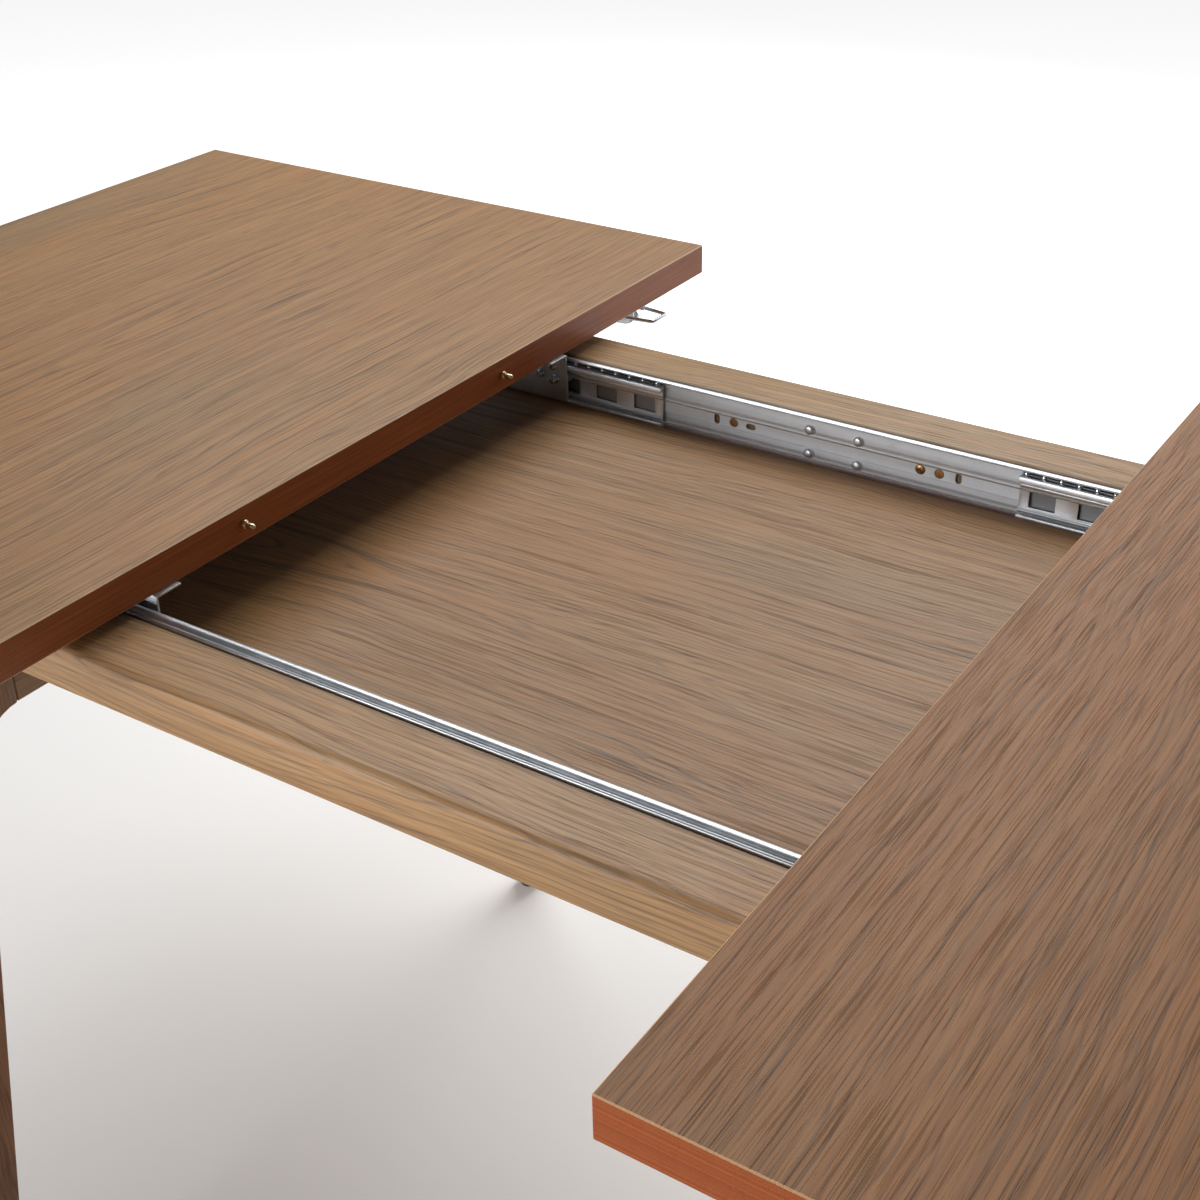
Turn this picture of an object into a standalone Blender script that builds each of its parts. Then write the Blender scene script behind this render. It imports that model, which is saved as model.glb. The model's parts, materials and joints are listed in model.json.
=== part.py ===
"""Extending dining table: two half tops on synchronised ball slides, with the leaf stored in the well.

Metres, +Z up. X is the way the table extends, Y goes across it, and the origin is on the floor under
the middle of the table. The model stands opened out: the half tops slide towards X = 0 to close.
Everything is built for the +X, +Y corner and mirrored from there.
"""
import bmesh
import bpy
from math import cos, pi, radians, sin
from mathutils import Vector

# ---- driving sizes ---------------------------------------------------------------------------------
TABLE_HEIGHT = 0.750
TOP_THICKNESS = 0.026
TOP_WIDTH = 0.900            # across, along Y
HALF_TOP_LENGTH = 0.600
OPEN_GAP = 0.480             # between the half tops as modelled
ARRIS = 0.0008               # eased edges of the boards
TOUCH = 0.0003               # gap between pieces that touch

LEAF_LENGTH = 0.900          # along X while the leaf is stored
LEAF_WIDTH = 0.4630
LEAF_SIDE_GAP = 0.0109       # leaf's edge to the rail, room for the slides' lower races
LEAF_CLEARANCE = 0.0018      # inner members down to the stored leaf's face
PIN_PASS = 0.0004            # channel down to the pins on the stored leaf's edge
LEAF_BEARING = 0.0540        # how far each end of the stored leaf reaches over its cross apron

RAIL_BELOW_ROLL = 0.0020     # the slide stands this much above its rail
RAIL_HEIGHT = 0.0343
RAIL_WIDTH = 0.0516
RAIL_BEYOND_CHANNEL = 0.0020
RAIL_ROUND = 0.0055          # outer top edge
RAIL_INNER_ROUND = 0.0050
RAIL_PILOT = 0.0022          # radius of the screws' pilot holes

TOP_CLEARANCE = 0.0060       # underside of the half tops down to the slides' rolled lips
SHEET = 0.0012               # steel of the fixed channel
BALL_RADIUS = 0.0024
BALL_DEPTH = 0.00625         # rail face to the ball row
BALL_HEIGHT = 0.01975        # slide centre line to the ball row
RACE_CLEARANCE = 0.00015
RACE_END = 45.0              # degrees: how far over the balls the fixed races reach
WEB_ABOVE_BALLS = 0.0008     # ball row to where the web bends into the race
BAND_HEIGHT = 0.0054         # half height of the band pressed forward in the channel's web
BAND_RISE = 0.0006
CHANNEL_BEYOND_PULLEY = 0.0215
LIP_BEFORE_PULLEY = 0.0145   # the flanges stop here and leave the pulley free
MOVING_SHEET = 0.0010
CARRIAGE_CLOSED = 0.0305     # inner end of the middle members when the table is closed
CARRIAGE_LENGTH = 0.380
CARRIAGE_WEB = 0.0046        # rail face to the back of the middle member
CAGE_LENGTH = 0.300
CAGE_SHEET = 0.0006
INNER_BACK = {"left": -0.0028, "right": 0.0046}     # gap edge to the inner member's end
INNER_LENGTH = 0.300
INNER_HALF_HEIGHT = 0.0122

STOP_X = 0.0206              # pressed stops for the middle members
STOP_HEIGHT = 0.0100
STOP_RADIUS = 0.0043
STOP_RISE = 0.0030
SCREW_X = 0.0870
SCREW_HEAD = 0.0036
SCREW_HOLE = 0.0039
VERTICAL_SLOT_X = 0.1023
LEVEL_SLOT_X = 0.0718

WINDOW_LENGTH = 0.0197
WINDOW_PITCH = 0.0365
WINDOW_FIRST = 0.0075        # member's end to its first window
WINDOW_HALF_HEIGHT = 0.0067

CABLE_RADIUS = 0.0007
CABLE_DEPTH = 0.0116
PULLEY_WRAP = 0.0095         # radius of the cable's centre line on the pulley
PULLEY_CLEARANCE = 0.0013
PULLEY_WIDTH = 0.0033
PULLEY_RIM = 0.0106
STUD_RADIUS = 0.0025

PIN_Y = 0.1443
PIN_RADIUS = 0.0021
PIN_COLLAR = 0.0031
PIN_REACH = 0.0106
PIN_DEPTH = 0.0150
SOCKET_DEPTH = 0.0145
SOCKET_CLEARANCE = 0.0003

APRON_THICKNESS = 0.0250
APRON_HEIGHT = 0.0632
SEAM_IN = 0.0091             # rail's inner face to the seam between leg and cross apron
LEG_TOP_DEPTH = 0.0440       # along X
LEG_FOOT_DEPTH = 0.0280
LEG_PROUD = 0.0060           # leg's head beyond the rail's outer face
LEG_FOOT_WIDTH = 0.0265
LEG_SPLAY = radians(9.0)
SHOULDER_RADIUS = 0.0360
LEG_ROUND = 0.0015
GLIDE_HEIGHT = 0.0080
GLIDE_RADIUS = 0.0095

BRACKET_SHEET = 0.0015
BRACKET_FLANGE = 0.0200
BRACKET_LENGTH = 0.300
BRACKET_CLEARANCE = 0.0025   # over the stored leaf

LATCH_OUT = 0.0677           # rail's outer face to the latch's middle
LATCH_PIVOT_IN = 0.0360      # gap edge back to the lever's pivot
LATCH_PIVOT_DROP = 0.0070    # underside down to the pivot
LATCH_PIN_RADIUS = 0.0015
LATCH_BORE = 0.0018
EAR_INSIDE = 0.0080
EAR_SHEET = 0.0015
GUIDE_START = 0.0240         # pivot forward to the front of the guide ears
GUIDE_END = 0.0145           # and to their back, clear of the bail's eyes
BAIL_WIRE = 0.0016
BAIL_HALF_WIDTH = 0.0110     # at the tip
BAIL_FOOT_WIDTH = 0.0150     # half the width at the eyes
BAIL_REACH = 0.0345
EYE_FORWARD = 0.0105
EYE_DROP = 0.0050

# ---- places worked out from the sizes ---------------------------------------------------------------
EDGE_X = OPEN_GAP / 2
UNDERSIDE = TABLE_HEIGHT - TOP_THICKNESS
RACE_INSIDE = BALL_RADIUS + RACE_CLEARANCE
CHANNEL_HALF_HEIGHT = BALL_HEIGHT + RACE_INSIDE + SHEET
SLIDE_Z = UNDERSIDE - TOP_CLEARANCE - CHANNEL_HALF_HEIGHT
RAIL_TOP = SLIDE_Z + CHANNEL_HALF_HEIGHT - RAIL_BELOW_ROLL
RAIL_BOTTOM = RAIL_TOP - RAIL_HEIGHT
RAIL_INNER_Y = LEAF_WIDTH / 2 + LEAF_SIDE_GAP
RAIL_OUTER_Y = RAIL_INNER_Y + RAIL_WIDTH
WEB_FRONT = TOUCH + SHEET
CAGE_BACK = WEB_FRONT + BAND_RISE + TOUCH
CARRIAGE_START = EDGE_X / 2 + CARRIAGE_CLOSED       # the middle members move half as far
CARRIAGE_FRONT = CARRIAGE_WEB + MOVING_SHEET
INNER_START = {name: EDGE_X + back for name, back in INNER_BACK.items()}
INNER_WEB = CABLE_DEPTH + CABLE_RADIUS + 0.0004
PULLEY_X = INNER_START["right"] + INNER_LENGTH + PULLEY_CLEARANCE + PULLEY_RIM
LIP_HALF_LENGTH = PULLEY_X - LIP_BEFORE_PULLEY
CHANNEL_HALF_LENGTH = PULLEY_X + CHANNEL_BEYOND_PULLEY
RAIL_HALF_LENGTH = CHANNEL_HALF_LENGTH + RAIL_BEYOND_CHANNEL
BRACKET_DEPTH = INNER_WEB + MOVING_SHEET + TOUCH
LEAF_TOP = min(SLIDE_Z - INNER_HALF_HEIGHT - LEAF_CLEARANCE,
               SLIDE_Z - CHANNEL_HALF_HEIGHT - PIN_PASS - PIN_COLLAR + TOP_THICKNESS / 2)
LEAF_Z = LEAF_TOP - TOP_THICKNESS / 2
APRON_FACE_X = LEAF_LENGTH / 2 - LEAF_BEARING
SEAM_Y = RAIL_INNER_Y - SEAM_IN
LEG_TOP_OUTER = RAIL_OUTER_Y + LEG_PROUD
LATCH_Y = RAIL_OUTER_Y + LATCH_OUT
APRON_TOP = LEAF_TOP - TOP_THICKNESS - TOUCH
APRON_BOTTOM = APRON_TOP - APRON_HEIGHT
PIN_Z = TABLE_HEIGHT - TOP_THICKNESS / 2
SIDES = {"left": -1, "right": 1}
FACES = {"front": -1, "back": 1}
LATCHED = ("back",)          # the faces with a draw latch

OAK = ("stained_oak", (0.30, 0.150, 0.070), 0.45, 0.0)
EDGE_OAK = ("oak_frame", (0.26, 0.135, 0.065), 0.50, 0.0)
ZINC = ("zinc_steel", (0.62, 0.65, 0.69), 0.35, 1.0)
BRIGHT = ("bright_steel", (0.75, 0.77, 0.80), 0.22, 1.0)
CAGE = ("cage_steel", (0.35, 0.37, 0.40), 0.40, 1.0)
BRASS = ("pale_brass", (0.78, 0.66, 0.42), 0.30, 1.0)
NYLON = ("black_nylon", (0.03, 0.03, 0.03), 0.55, 0.0)


# ---- helpers ---------------------------------------------------------------------------------------
def clear_scene():
    for thing in list(bpy.data.objects):
        bpy.data.objects.remove(thing, do_unlink=True)


def material(name, finish):
    _, colour, roughness, metallic = finish
    made = bpy.data.materials.new(name)
    made.use_nodes = True
    shader = made.node_tree.nodes["Principled BSDF"]
    shader.inputs["Base Color"].default_value = (*colour, 1.0)
    shader.inputs["Roughness"].default_value = roughness
    shader.inputs["Metallic"].default_value = metallic
    made.diffuse_color = (*colour, 1.0)
    return made


def carrier(name, place):
    empty = bpy.data.objects.new(name, None)
    empty.location = place
    bpy.context.scene.collection.objects.link(empty)
    return empty


def put(name, mesh, finish, holder=None, origin=(0, 0, 0)):
    """Make the object for one node, its vertices given in world places and its origin at origin."""
    origin = Vector(origin)
    for vertex in mesh.vertices:
        vertex.co -= origin
    item = bpy.data.objects.new(name, mesh)
    bpy.context.scene.collection.objects.link(item)
    item.location = origin
    if holder:
        item.parent = holder
        item.location = origin - holder.location
    if finish:
        mesh.materials.append(material(name + "_" + finish[0], finish))
    return item


def finished(bm, name, flip=(1, 1, 1), smooth=None):
    """Mirror a mesh by the signs in flip, turn its faces outwards and store it."""
    for vertex in bm.verts:
        vertex.co = Vector((vertex.co.x * flip[0], vertex.co.y * flip[1], vertex.co.z * flip[2]))
    if bm.calc_volume(signed=True) < 0:
        bmesh.ops.reverse_faces(bm, faces=bm.faces)
    mesh = bpy.data.meshes.new(name)
    bm.to_mesh(mesh)
    bm.free()
    if smooth:
        mesh.shade_smooth()
        mesh.set_sharp_from_angle(angle=radians(smooth))
    return mesh


def extrude(outline, low, high, axis="x"):
    """Solid made from a flat outline drawn square to axis, from low to high along it."""
    bm = bmesh.new()
    order = {"x": lambda u, v: (low, u, v), "y": lambda u, v: (u, low, v), "z": lambda u, v: (u, v, low)}
    step = {"x": (high - low, 0, 0), "y": (0, high - low, 0), "z": (0, 0, high - low)}
    face = bm.faces.new([bm.verts.new(order[axis](u, v)) for u, v in outline])
    grown = bmesh.ops.extrude_face_region(bm, geom=[face])
    moved = [item for item in grown["geom"] if isinstance(item, bmesh.types.BMVert)]
    bmesh.ops.translate(bm, vec=step[axis], verts=moved)
    return outward(bm)


def outward(bm):
    """Make the faces of one closed shape agree and point outwards."""
    bmesh.ops.recalc_face_normals(bm, faces=bm.faces)
    if bm.calc_volume(signed=True) < 0:
        bmesh.ops.reverse_faces(bm, faces=bm.faces)
    return bm


def box(low, high):
    return extrude([(low[1], low[2]), (high[1], low[2]), (high[1], high[2]), (low[1], high[2])],
                   low[0], high[0])


def arc(centre, radius, start, end, steps):
    """Points on a circle from start to end, in degrees."""
    turns = [radians(start + (end - start) * step / steps) for step in range(steps + 1)]
    return [(centre[0] + radius * cos(turn), centre[1] + radius * sin(turn)) for turn in turns]


def turned(profile, centre, axis, sides=16):
    """Solid of revolution: profile holds (place along axis, radius), both ends closed."""
    bm = bmesh.new()
    rings = []
    for along, radius in profile:
        ring = []
        for side in range(sides):
            turn = 2 * pi * side / sides
            u, v = radius * cos(turn), radius * sin(turn)
            spot = {"x": (along, u, v), "y": (u, along, v), "z": (u, v, along)}[axis]
            ring.append(bm.verts.new(Vector(spot) + Vector(centre)))
        rings.append(ring)
    for first, second in zip(rings, rings[1:]):
        for side in range(sides):
            bm.faces.new((first[side], first[side - 1], second[side - 1], second[side]))
    bm.faces.new(rings[0])
    bm.faces.new(rings[-1])
    return outward(bm)


def joined(pieces):
    """Separate closed shapes in one mesh, for a cutter."""
    whole = bmesh.new()
    for piece in pieces:
        spare = bpy.data.meshes.new("spare")
        piece.to_mesh(spare)
        piece.free()
        whole.from_mesh(spare)
        bpy.data.meshes.remove(spare)
    return whole


def boolean(item, pieces, operation="DIFFERENCE", flip=(1, 1, 1)):
    """Cut or join pieces, drawn in world places, into item."""
    cutter = put(item.name + "_" + operation.lower(), finished(joined(pieces), "cutter", flip), None)
    cutter.hide_render = True
    cutter.display_type = "WIRE"
    change = item.modifiers.new(operation.title(), "BOOLEAN")
    change.operation = operation
    change.solver = "EXACT"
    change.object = cutter


def ease(item, width, segments=1):
    rounding = item.modifiers.new("Eased edges", "BEVEL")
    rounding.width = width
    rounding.segments = segments
    rounding.limit_method = "ANGLE"
    rounding.angle_limit = radians(40)


def depth_to_y(depth):
    """Depth is measured from the rail's inner face towards the middle of the table."""
    return RAIL_INNER_Y - depth


def slide_outline(points):
    """Outline given as (depth, height over the slide's centre line), as (Y, Z)."""
    return [(depth_to_y(depth), SLIDE_Z + height) for depth, height in points]


# ---- boards ----------------------------------------------------------------------------------------
def pin_cuts(x_edge, reach, radius):
    """Blind holes along X in a board's edge, a pin pitch apart."""
    inside = [(x_edge - 0.002, radius), (x_edge + reach, radius)]
    return [turned(inside, (0, side * PIN_Y, PIN_Z), "x", 12) for side in (-1, 1)]


def add_tops(carriages):
    for name, side in SIDES.items():
        low = (EDGE_X, -TOP_WIDTH / 2, UNDERSIDE)
        high = (EDGE_X + HALF_TOP_LENGTH, TOP_WIDTH / 2, TABLE_HEIGHT)
        mesh = finished(box(low, high), "top_" + name, (side, 1, 1))
        top = put("top_" + name, mesh, OAK, carriages[name], (side * EDGE_X, 0, TABLE_HEIGHT))
        ease(top, ARRIS)
        if name == "left":
            cuts = pin_cuts(EDGE_X, PIN_DEPTH + TOUCH, PIN_RADIUS + TOUCH)
        else:
            cuts = pin_cuts(EDGE_X, SOCKET_DEPTH, PIN_COLLAR + SOCKET_CLEARANCE)
        boolean(top, cuts, flip=(side, 1, 1))


def pin_profile():
    """Locating pin along +X from its buried end: shank, collar at the edge and a bullet nose."""
    nose = [(PIN_REACH - PIN_RADIUS * (1 - sin(turn)) * 1.5, PIN_RADIUS * cos(turn))
            for turn in (radians(angle) for angle in (0, 25, 50, 75))]
    return [(-PIN_DEPTH, PIN_RADIUS), (0.0001, PIN_RADIUS), (0.0001, PIN_COLLAR),
            (0.0026, PIN_COLLAR), (0.0034, PIN_RADIUS)] + nose


def add_pins(carriage):
    for name, face in FACES.items():
        place = (-EDGE_X, face * PIN_Y, PIN_Z)
        mesh = finished(turned(pin_profile(), place, "x", 12), "pin", smooth=35)
        put("locating_pin_" + name, mesh, BRASS, carriage, place)


def add_leaf(holder):
    """The leaf lies in the well, turned a quarter turn, so its pins point across the table."""
    low = (-LEAF_LENGTH / 2, -LEAF_WIDTH / 2, LEAF_TOP - TOP_THICKNESS)
    high = (LEAF_LENGTH / 2, LEAF_WIDTH / 2, LEAF_TOP)
    leaf = put("extension_leaf", finished(box(low, high), "leaf"), OAK, holder, (0, 0, LEAF_Z))
    ease(leaf, ARRIS)
    edge = LEAF_WIDTH / 2
    holes = []
    for side in (-1, 1):
        centre = (side * PIN_Y, 0, LEAF_Z)
        pin_hole = [(edge - PIN_DEPTH - TOUCH, PIN_RADIUS + TOUCH), (edge + 0.002, PIN_RADIUS + TOUCH)]
        socket = [(-edge - 0.002, PIN_COLLAR + SOCKET_CLEARANCE),
                  (-edge + SOCKET_DEPTH, PIN_COLLAR + SOCKET_CLEARANCE)]
        holes += [turned(pin_hole, centre, "y", 12), turned(socket, centre, "y", 12)]
    boolean(leaf, holes)
    for name, side in SIDES.items():
        place = (side * PIN_Y, edge, LEAF_Z)
        mesh = finished(turned(pin_profile(), place, "y", 12), "leaf_pin", smooth=35)
        put("leaf_pin_" + name, mesh, BRASS, holder, place)


# ---- base ------------------------------------------------------------------------------------------
def add_rails():
    corner, inner = RAIL_ROUND, RAIL_INNER_ROUND
    outline = [(RAIL_INNER_Y, RAIL_BOTTOM), (RAIL_OUTER_Y - 0.002, RAIL_BOTTOM),
               (RAIL_OUTER_Y, RAIL_BOTTOM + 0.002)]
    outline += arc((RAIL_OUTER_Y - corner, RAIL_TOP - corner), corner, 0, 90, 5)
    outline += arc((RAIL_INNER_Y + inner, RAIL_TOP - inner), inner, 90, 180, 5)
    for name, face in FACES.items():
        bm = extrude(outline, -RAIL_HALF_LENGTH, RAIL_HALF_LENGTH)
        rail = put("rail_" + name, finished(bm, "rail", (1, face, 1), 30), EDGE_OAK)
        pilot = [(RAIL_INNER_Y - 0.002, RAIL_PILOT), (RAIL_INNER_Y + 0.0155, RAIL_PILOT)]
        boolean(rail, [turned(pilot, (side * SCREW_X, 0, SLIDE_Z), "y", 10) for side in (-1, 1)],
                flip=(1, face, 1))


def add_cross_aprons():
    for name, side in SIDES.items():
        low = (APRON_FACE_X + 0.0005, -SEAM_Y, APRON_BOTTOM)
        high = (APRON_FACE_X + 0.0005 + APRON_THICKNESS, SEAM_Y, APRON_TOP)
        apron = put("cross_apron_" + name, finished(box(low, high), "apron", (side, 1, 1)), EDGE_OAK)
        ease(apron, 0.0012)


def leg_outline():
    """Leg seen along X: a head under the rail, a round shoulder and a splayed shank, as (Y, Z)."""
    seam = SEAM_Y + TOUCH
    turn_end = 9.0
    shoulder = arc((seam, APRON_BOTTOM - SHOULDER_RADIUS), SHOULDER_RADIUS, 90, turn_end, 7)
    knee_y, knee_z = shoulder[-1]
    foot_inner = knee_y + (knee_z - GLIDE_HEIGHT) * sin(LEG_SPLAY) / cos(LEG_SPLAY)
    channel_foot = SLIDE_Z - CHANNEL_HALF_HEIGHT - 0.0010
    return shoulder + [
        (foot_inner, GLIDE_HEIGHT), (foot_inner + LEG_FOOT_WIDTH, GLIDE_HEIGHT),
        (LEG_TOP_OUTER, RAIL_BOTTOM - TOUCH), (RAIL_INNER_Y + 0.0006, RAIL_BOTTOM - TOUCH),
        (RAIL_INNER_Y + 0.0006, channel_foot), (seam, channel_foot)]


def foot_centre():
    outline = leg_outline()
    feet = [y for y, z in outline if abs(z - GLIDE_HEIGHT) < 1e-6]
    return APRON_FACE_X + LEG_FOOT_DEPTH / 2, sum(feet) / 2


def add_legs():
    foot_x, foot_y = foot_centre()
    for face_name, face in FACES.items():
        for side_name, side in SIDES.items():
            where = face_name + "_" + side_name
            bm = extrude(leg_outline(), APRON_FACE_X, APRON_FACE_X + LEG_TOP_DEPTH)
            for vertex in bm.verts:
                if vertex.co.x > APRON_FACE_X + LEG_TOP_DEPTH / 2:
                    grown = (vertex.co.z - GLIDE_HEIGHT) / (RAIL_BOTTOM - GLIDE_HEIGHT)
                    depth = LEG_FOOT_DEPTH + (LEG_TOP_DEPTH - LEG_FOOT_DEPTH) * grown
                    vertex.co.x = APRON_FACE_X + depth
            leg = put("leg_" + where, finished(bm, "leg", (side, face, 1)), EDGE_OAK)
            ease(leg, LEG_ROUND, 2)
            profile = [(0, GLIDE_RADIUS - 0.0015), (0.0015, GLIDE_RADIUS), (0.0050, GLIDE_RADIUS),
                       (GLIDE_HEIGHT - TOUCH, GLIDE_RADIUS * 0.8)]
            centre = (side * foot_x, face * foot_y, 0)
            mesh = finished(turned(profile, centre, "z", 20), "glide", smooth=35)
            put("foot_glide_" + where, mesh, NYLON, None, centre)


# ---- slides ----------------------------------------------------------------------------------------
def channel_outline():
    """Fixed channel: web on the rail with a band pressed forward, and races rolled over the balls."""
    ball = (BALL_DEPTH, BALL_HEIGHT)
    inside, outside = RACE_INSIDE, RACE_INSIDE + SHEET
    bend = BALL_HEIGHT + WEB_ABOVE_BALLS
    back = [(TOUCH + BAND_RISE, 0), (TOUCH + BAND_RISE, BAND_HEIGHT), (TOUCH, BAND_HEIGHT + BAND_RISE)]
    back += [(TOUCH, bend), (TOUCH + 0.0004, bend + 0.0009), (TOUCH + SHEET, bend + 0.0012),
             (TOUCH + SHEET + 0.0008, bend + 0.0007)]
    upper = back + arc(ball, outside, 150, RACE_END, 9)
    upper += arc(ball, inside, RACE_END, 150, 8)
    upper += [(WEB_FRONT + 0.0004, bend - 0.0003), (WEB_FRONT, bend - 0.0007)]
    front = [(WEB_FRONT, BAND_HEIGHT + BAND_RISE - 0.0003), (WEB_FRONT + BAND_RISE, BAND_HEIGHT - 0.0003)]
    half = upper + front
    return half + [(depth, -height) for depth, height in reversed(half[1:])]


def slot(x, length, height):
    """Round-ended slot through the web, its long side along X or Z."""
    radius = min(length, height) / 2
    long_x, long_z = length / 2 - radius, height / 2 - radius
    steps = 6
    if long_x > long_z:
        ends = arc((x + long_x, SLIDE_Z), radius, -90, 90, steps)
        ends += arc((x - long_x, SLIDE_Z), radius, 90, 270, steps)
    elif long_z > 0:
        ends = arc((x, SLIDE_Z + long_z), radius, 0, 180, steps)
        ends += arc((x, SLIDE_Z - long_z), radius, 180, 360, steps)
    else:
        ends = arc((x, SLIDE_Z), radius, 0, 360 - 360 / 14, 13)
    return extrude(ends, depth_to_y(WEB_FRONT + 0.001), depth_to_y(-0.0005), "y")


def add_channels():
    for name, face in FACES.items():
        bm = extrude(slide_outline(channel_outline()), -CHANNEL_HALF_LENGTH, CHANNEL_HALF_LENGTH)
        channel = put("channel_" + name, finished(bm, "channel", (1, face, 1), 30), ZINC)
        cuts = []
        for side in (-1, 1):
            ends = sorted((side * LIP_HALF_LENGTH, side * (CHANNEL_HALF_LENGTH + 0.01)))
            cuts.append(box((ends[0], depth_to_y(0.020), SLIDE_Z - 0.030),
                            (ends[1], depth_to_y(WEB_FRONT + BAND_RISE), SLIDE_Z + 0.030)))
            cuts.append(slot(side * VERTICAL_SLOT_X, 0.0050, 0.0085))
            cuts.append(slot(side * SCREW_X, 2 * SCREW_HOLE, 2 * SCREW_HOLE))
            cuts.append(slot(side * LEVEL_SLOT_X, 0.0085, 0.0050))
        boolean(channel, cuts, flip=(1, face, 1))
        boolean(channel, stops_and_studs(), "UNION", (1, face, 1))


def stops_and_studs():
    """Pressed stops that end the middle members' travel, and the studs that the pulleys turn on."""
    pieces = []
    for side in (-1, 1):
        for level in (-1, 1):
            centre = (side * STOP_X, 0, SLIDE_Z + level * STOP_HEIGHT)
            face = depth_to_y(WEB_FRONT)
            dome = [(face + 0.0006, STOP_RADIUS), (face - STOP_RISE * 0.50, STOP_RADIUS * 0.96),
                    (face - STOP_RISE * 0.82, STOP_RADIUS * 0.80), (face - STOP_RISE, STOP_RADIUS * 0.45)]
            pieces.append(turned(dome, centre, "y", 14))
        stud = [(depth_to_y(WEB_FRONT - 0.0006), STUD_RADIUS),
                (depth_to_y(CABLE_DEPTH + PULLEY_WIDTH / 2 + 0.0008), STUD_RADIUS)]
        pieces.append(turned(stud, (side * PULLEY_X, 0, SLIDE_Z), "y", 12))
    return pieces


def add_screws():
    for name, face in FACES.items():
        for side_name, side in SIDES.items():
            centre = (side * SCREW_X, 0, SLIDE_Z)
            profile = [(RAIL_INNER_Y + 0.0150, 0.0010), (RAIL_INNER_Y + 0.0120, 0.0019),
                       (RAIL_INNER_Y - TOUCH, 0.0019), (RAIL_INNER_Y - TOUCH, SCREW_HEAD),
                       (depth_to_y(WEB_FRONT + TOUCH), SCREW_HEAD),
                       (depth_to_y(WEB_FRONT + BAND_RISE), SCREW_HEAD - 0.0010)]
            mesh = finished(turned(profile, centre, "y", 12), "screw", (1, face, 1), 35)
            put("channel_screw_" + name + "_" + side_name, mesh, BRASS)


def carriage_outline():
    """Middle member: a web with a rib, ball troughs along both edges and a hem in front of each."""
    ball = (BALL_DEPTH, BALL_HEIGHT)
    inside, outside = RACE_INSIDE, RACE_INSIDE + MOVING_SHEET
    shelf = BALL_HEIGHT - outside
    back, front = CARRIAGE_WEB, CARRIAGE_FRONT
    upper = [(back, 0), (back, shelf - 0.0006)] + arc(ball, outside, 228, 215, 1)
    upper += arc(ball, inside, 215, 325, 6)
    upper += [(BALL_DEPTH + 0.0029, BALL_HEIGHT - 0.0020), (BALL_DEPTH + 0.0034, shelf + 0.0006),
              (BALL_DEPTH + 0.0034, shelf - 0.0036), (BALL_DEPTH + 0.0024, shelf - 0.0036),
              (BALL_DEPTH + 0.0024, shelf - 0.0006), (front + 0.0004, shelf - 0.0006),
              (front, shelf - 0.0012)]
    upper += [(front, 0.0116), (front + 0.0010, 0.0108), (front + 0.0010, 0.0096), (front, 0.0088)]
    return upper + [(depth, -height) for depth, height in reversed(upper[1:])]


def add_carriages(holders):
    for name, face in FACES.items():
        for side_name, side in SIDES.items():
            end = CARRIAGE_START + CARRIAGE_LENGTH
            bm = extrude(slide_outline(carriage_outline()), CARRIAGE_START, end)
            where = name + "_" + side_name
            mesh = finished(bm, "carriage", (side, face, 1), 30)
            place = (side * CARRIAGE_START, face * depth_to_y(CARRIAGE_WEB), SLIDE_Z)
            member = put("middle_member_" + where, mesh, ZINC, holders[where], place)
            count = int((CARRIAGE_LENGTH - WINDOW_FIRST) / WINDOW_PITCH)
            cuts = []
            for number in range(count):
                start = CARRIAGE_START + WINDOW_FIRST + number * WINDOW_PITCH
                cuts.append(box((start, depth_to_y(CARRIAGE_WEB + 0.003), SLIDE_Z - WINDOW_HALF_HEIGHT),
                                (start + WINDOW_LENGTH, depth_to_y(CARRIAGE_WEB - 0.0003),
                                 SLIDE_Z + WINDOW_HALF_HEIGHT)))
            boolean(member, cuts, flip=(side, face, 1))


def add_cages(holders):
    """Ball cages: folded strip round the back of the middle member, through both ball rows."""
    flange = CAGE_SHEET / 2
    reach = BALL_DEPTH + 0.0016
    upper = [(CAGE_BACK, 0), (CAGE_BACK, BALL_HEIGHT + flange), (reach, BALL_HEIGHT + flange),
             (reach, BALL_HEIGHT - flange), (CAGE_BACK + CAGE_SHEET, BALL_HEIGHT - flange)]
    outline = upper + [(depth, -height) for depth, height in reversed(upper[1:])]
    for name, face in FACES.items():
        for side_name, side in SIDES.items():
            where = name + "_" + side_name
            start = CARRIAGE_START + 0.0015
            bm = extrude(slide_outline(outline), start, start + CAGE_LENGTH)
            place = (side * start, face * depth_to_y(CAGE_BACK), SLIDE_Z)
            put("ball_cage_" + where, finished(bm, "cage", (side, face, 1)), CAGE, holders[where], place)


def inner_outline():
    """Inner member: a plate in front of the cable with two flanges between its strands."""
    web, front = INNER_WEB, INNER_WEB + MOVING_SHEET
    flange, thick, tip = 0.0063, MOVING_SHEET, CARRIAGE_FRONT + 0.0008
    upper = [(front, INNER_HALF_HEIGHT), (web, INNER_HALF_HEIGHT), (web, flange), (tip, flange),
             (tip, flange - thick), (web, flange - thick)]
    return upper + [(depth, -height) for depth, height in reversed(upper)]


def add_inner_members(carriages):
    for name, face in FACES.items():
        for side_name, side in SIDES.items():
            where = name + "_" + side_name
            start = INNER_START[side_name]
            bm = extrude(slide_outline(inner_outline()), start, start + INNER_LENGTH)
            place = (side * start, face * depth_to_y(INNER_WEB), SLIDE_Z)
            mesh = finished(bm, "inner", (side, face, 1))
            put("inner_member_" + where, mesh, ZINC, carriages[side_name], place)


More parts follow.
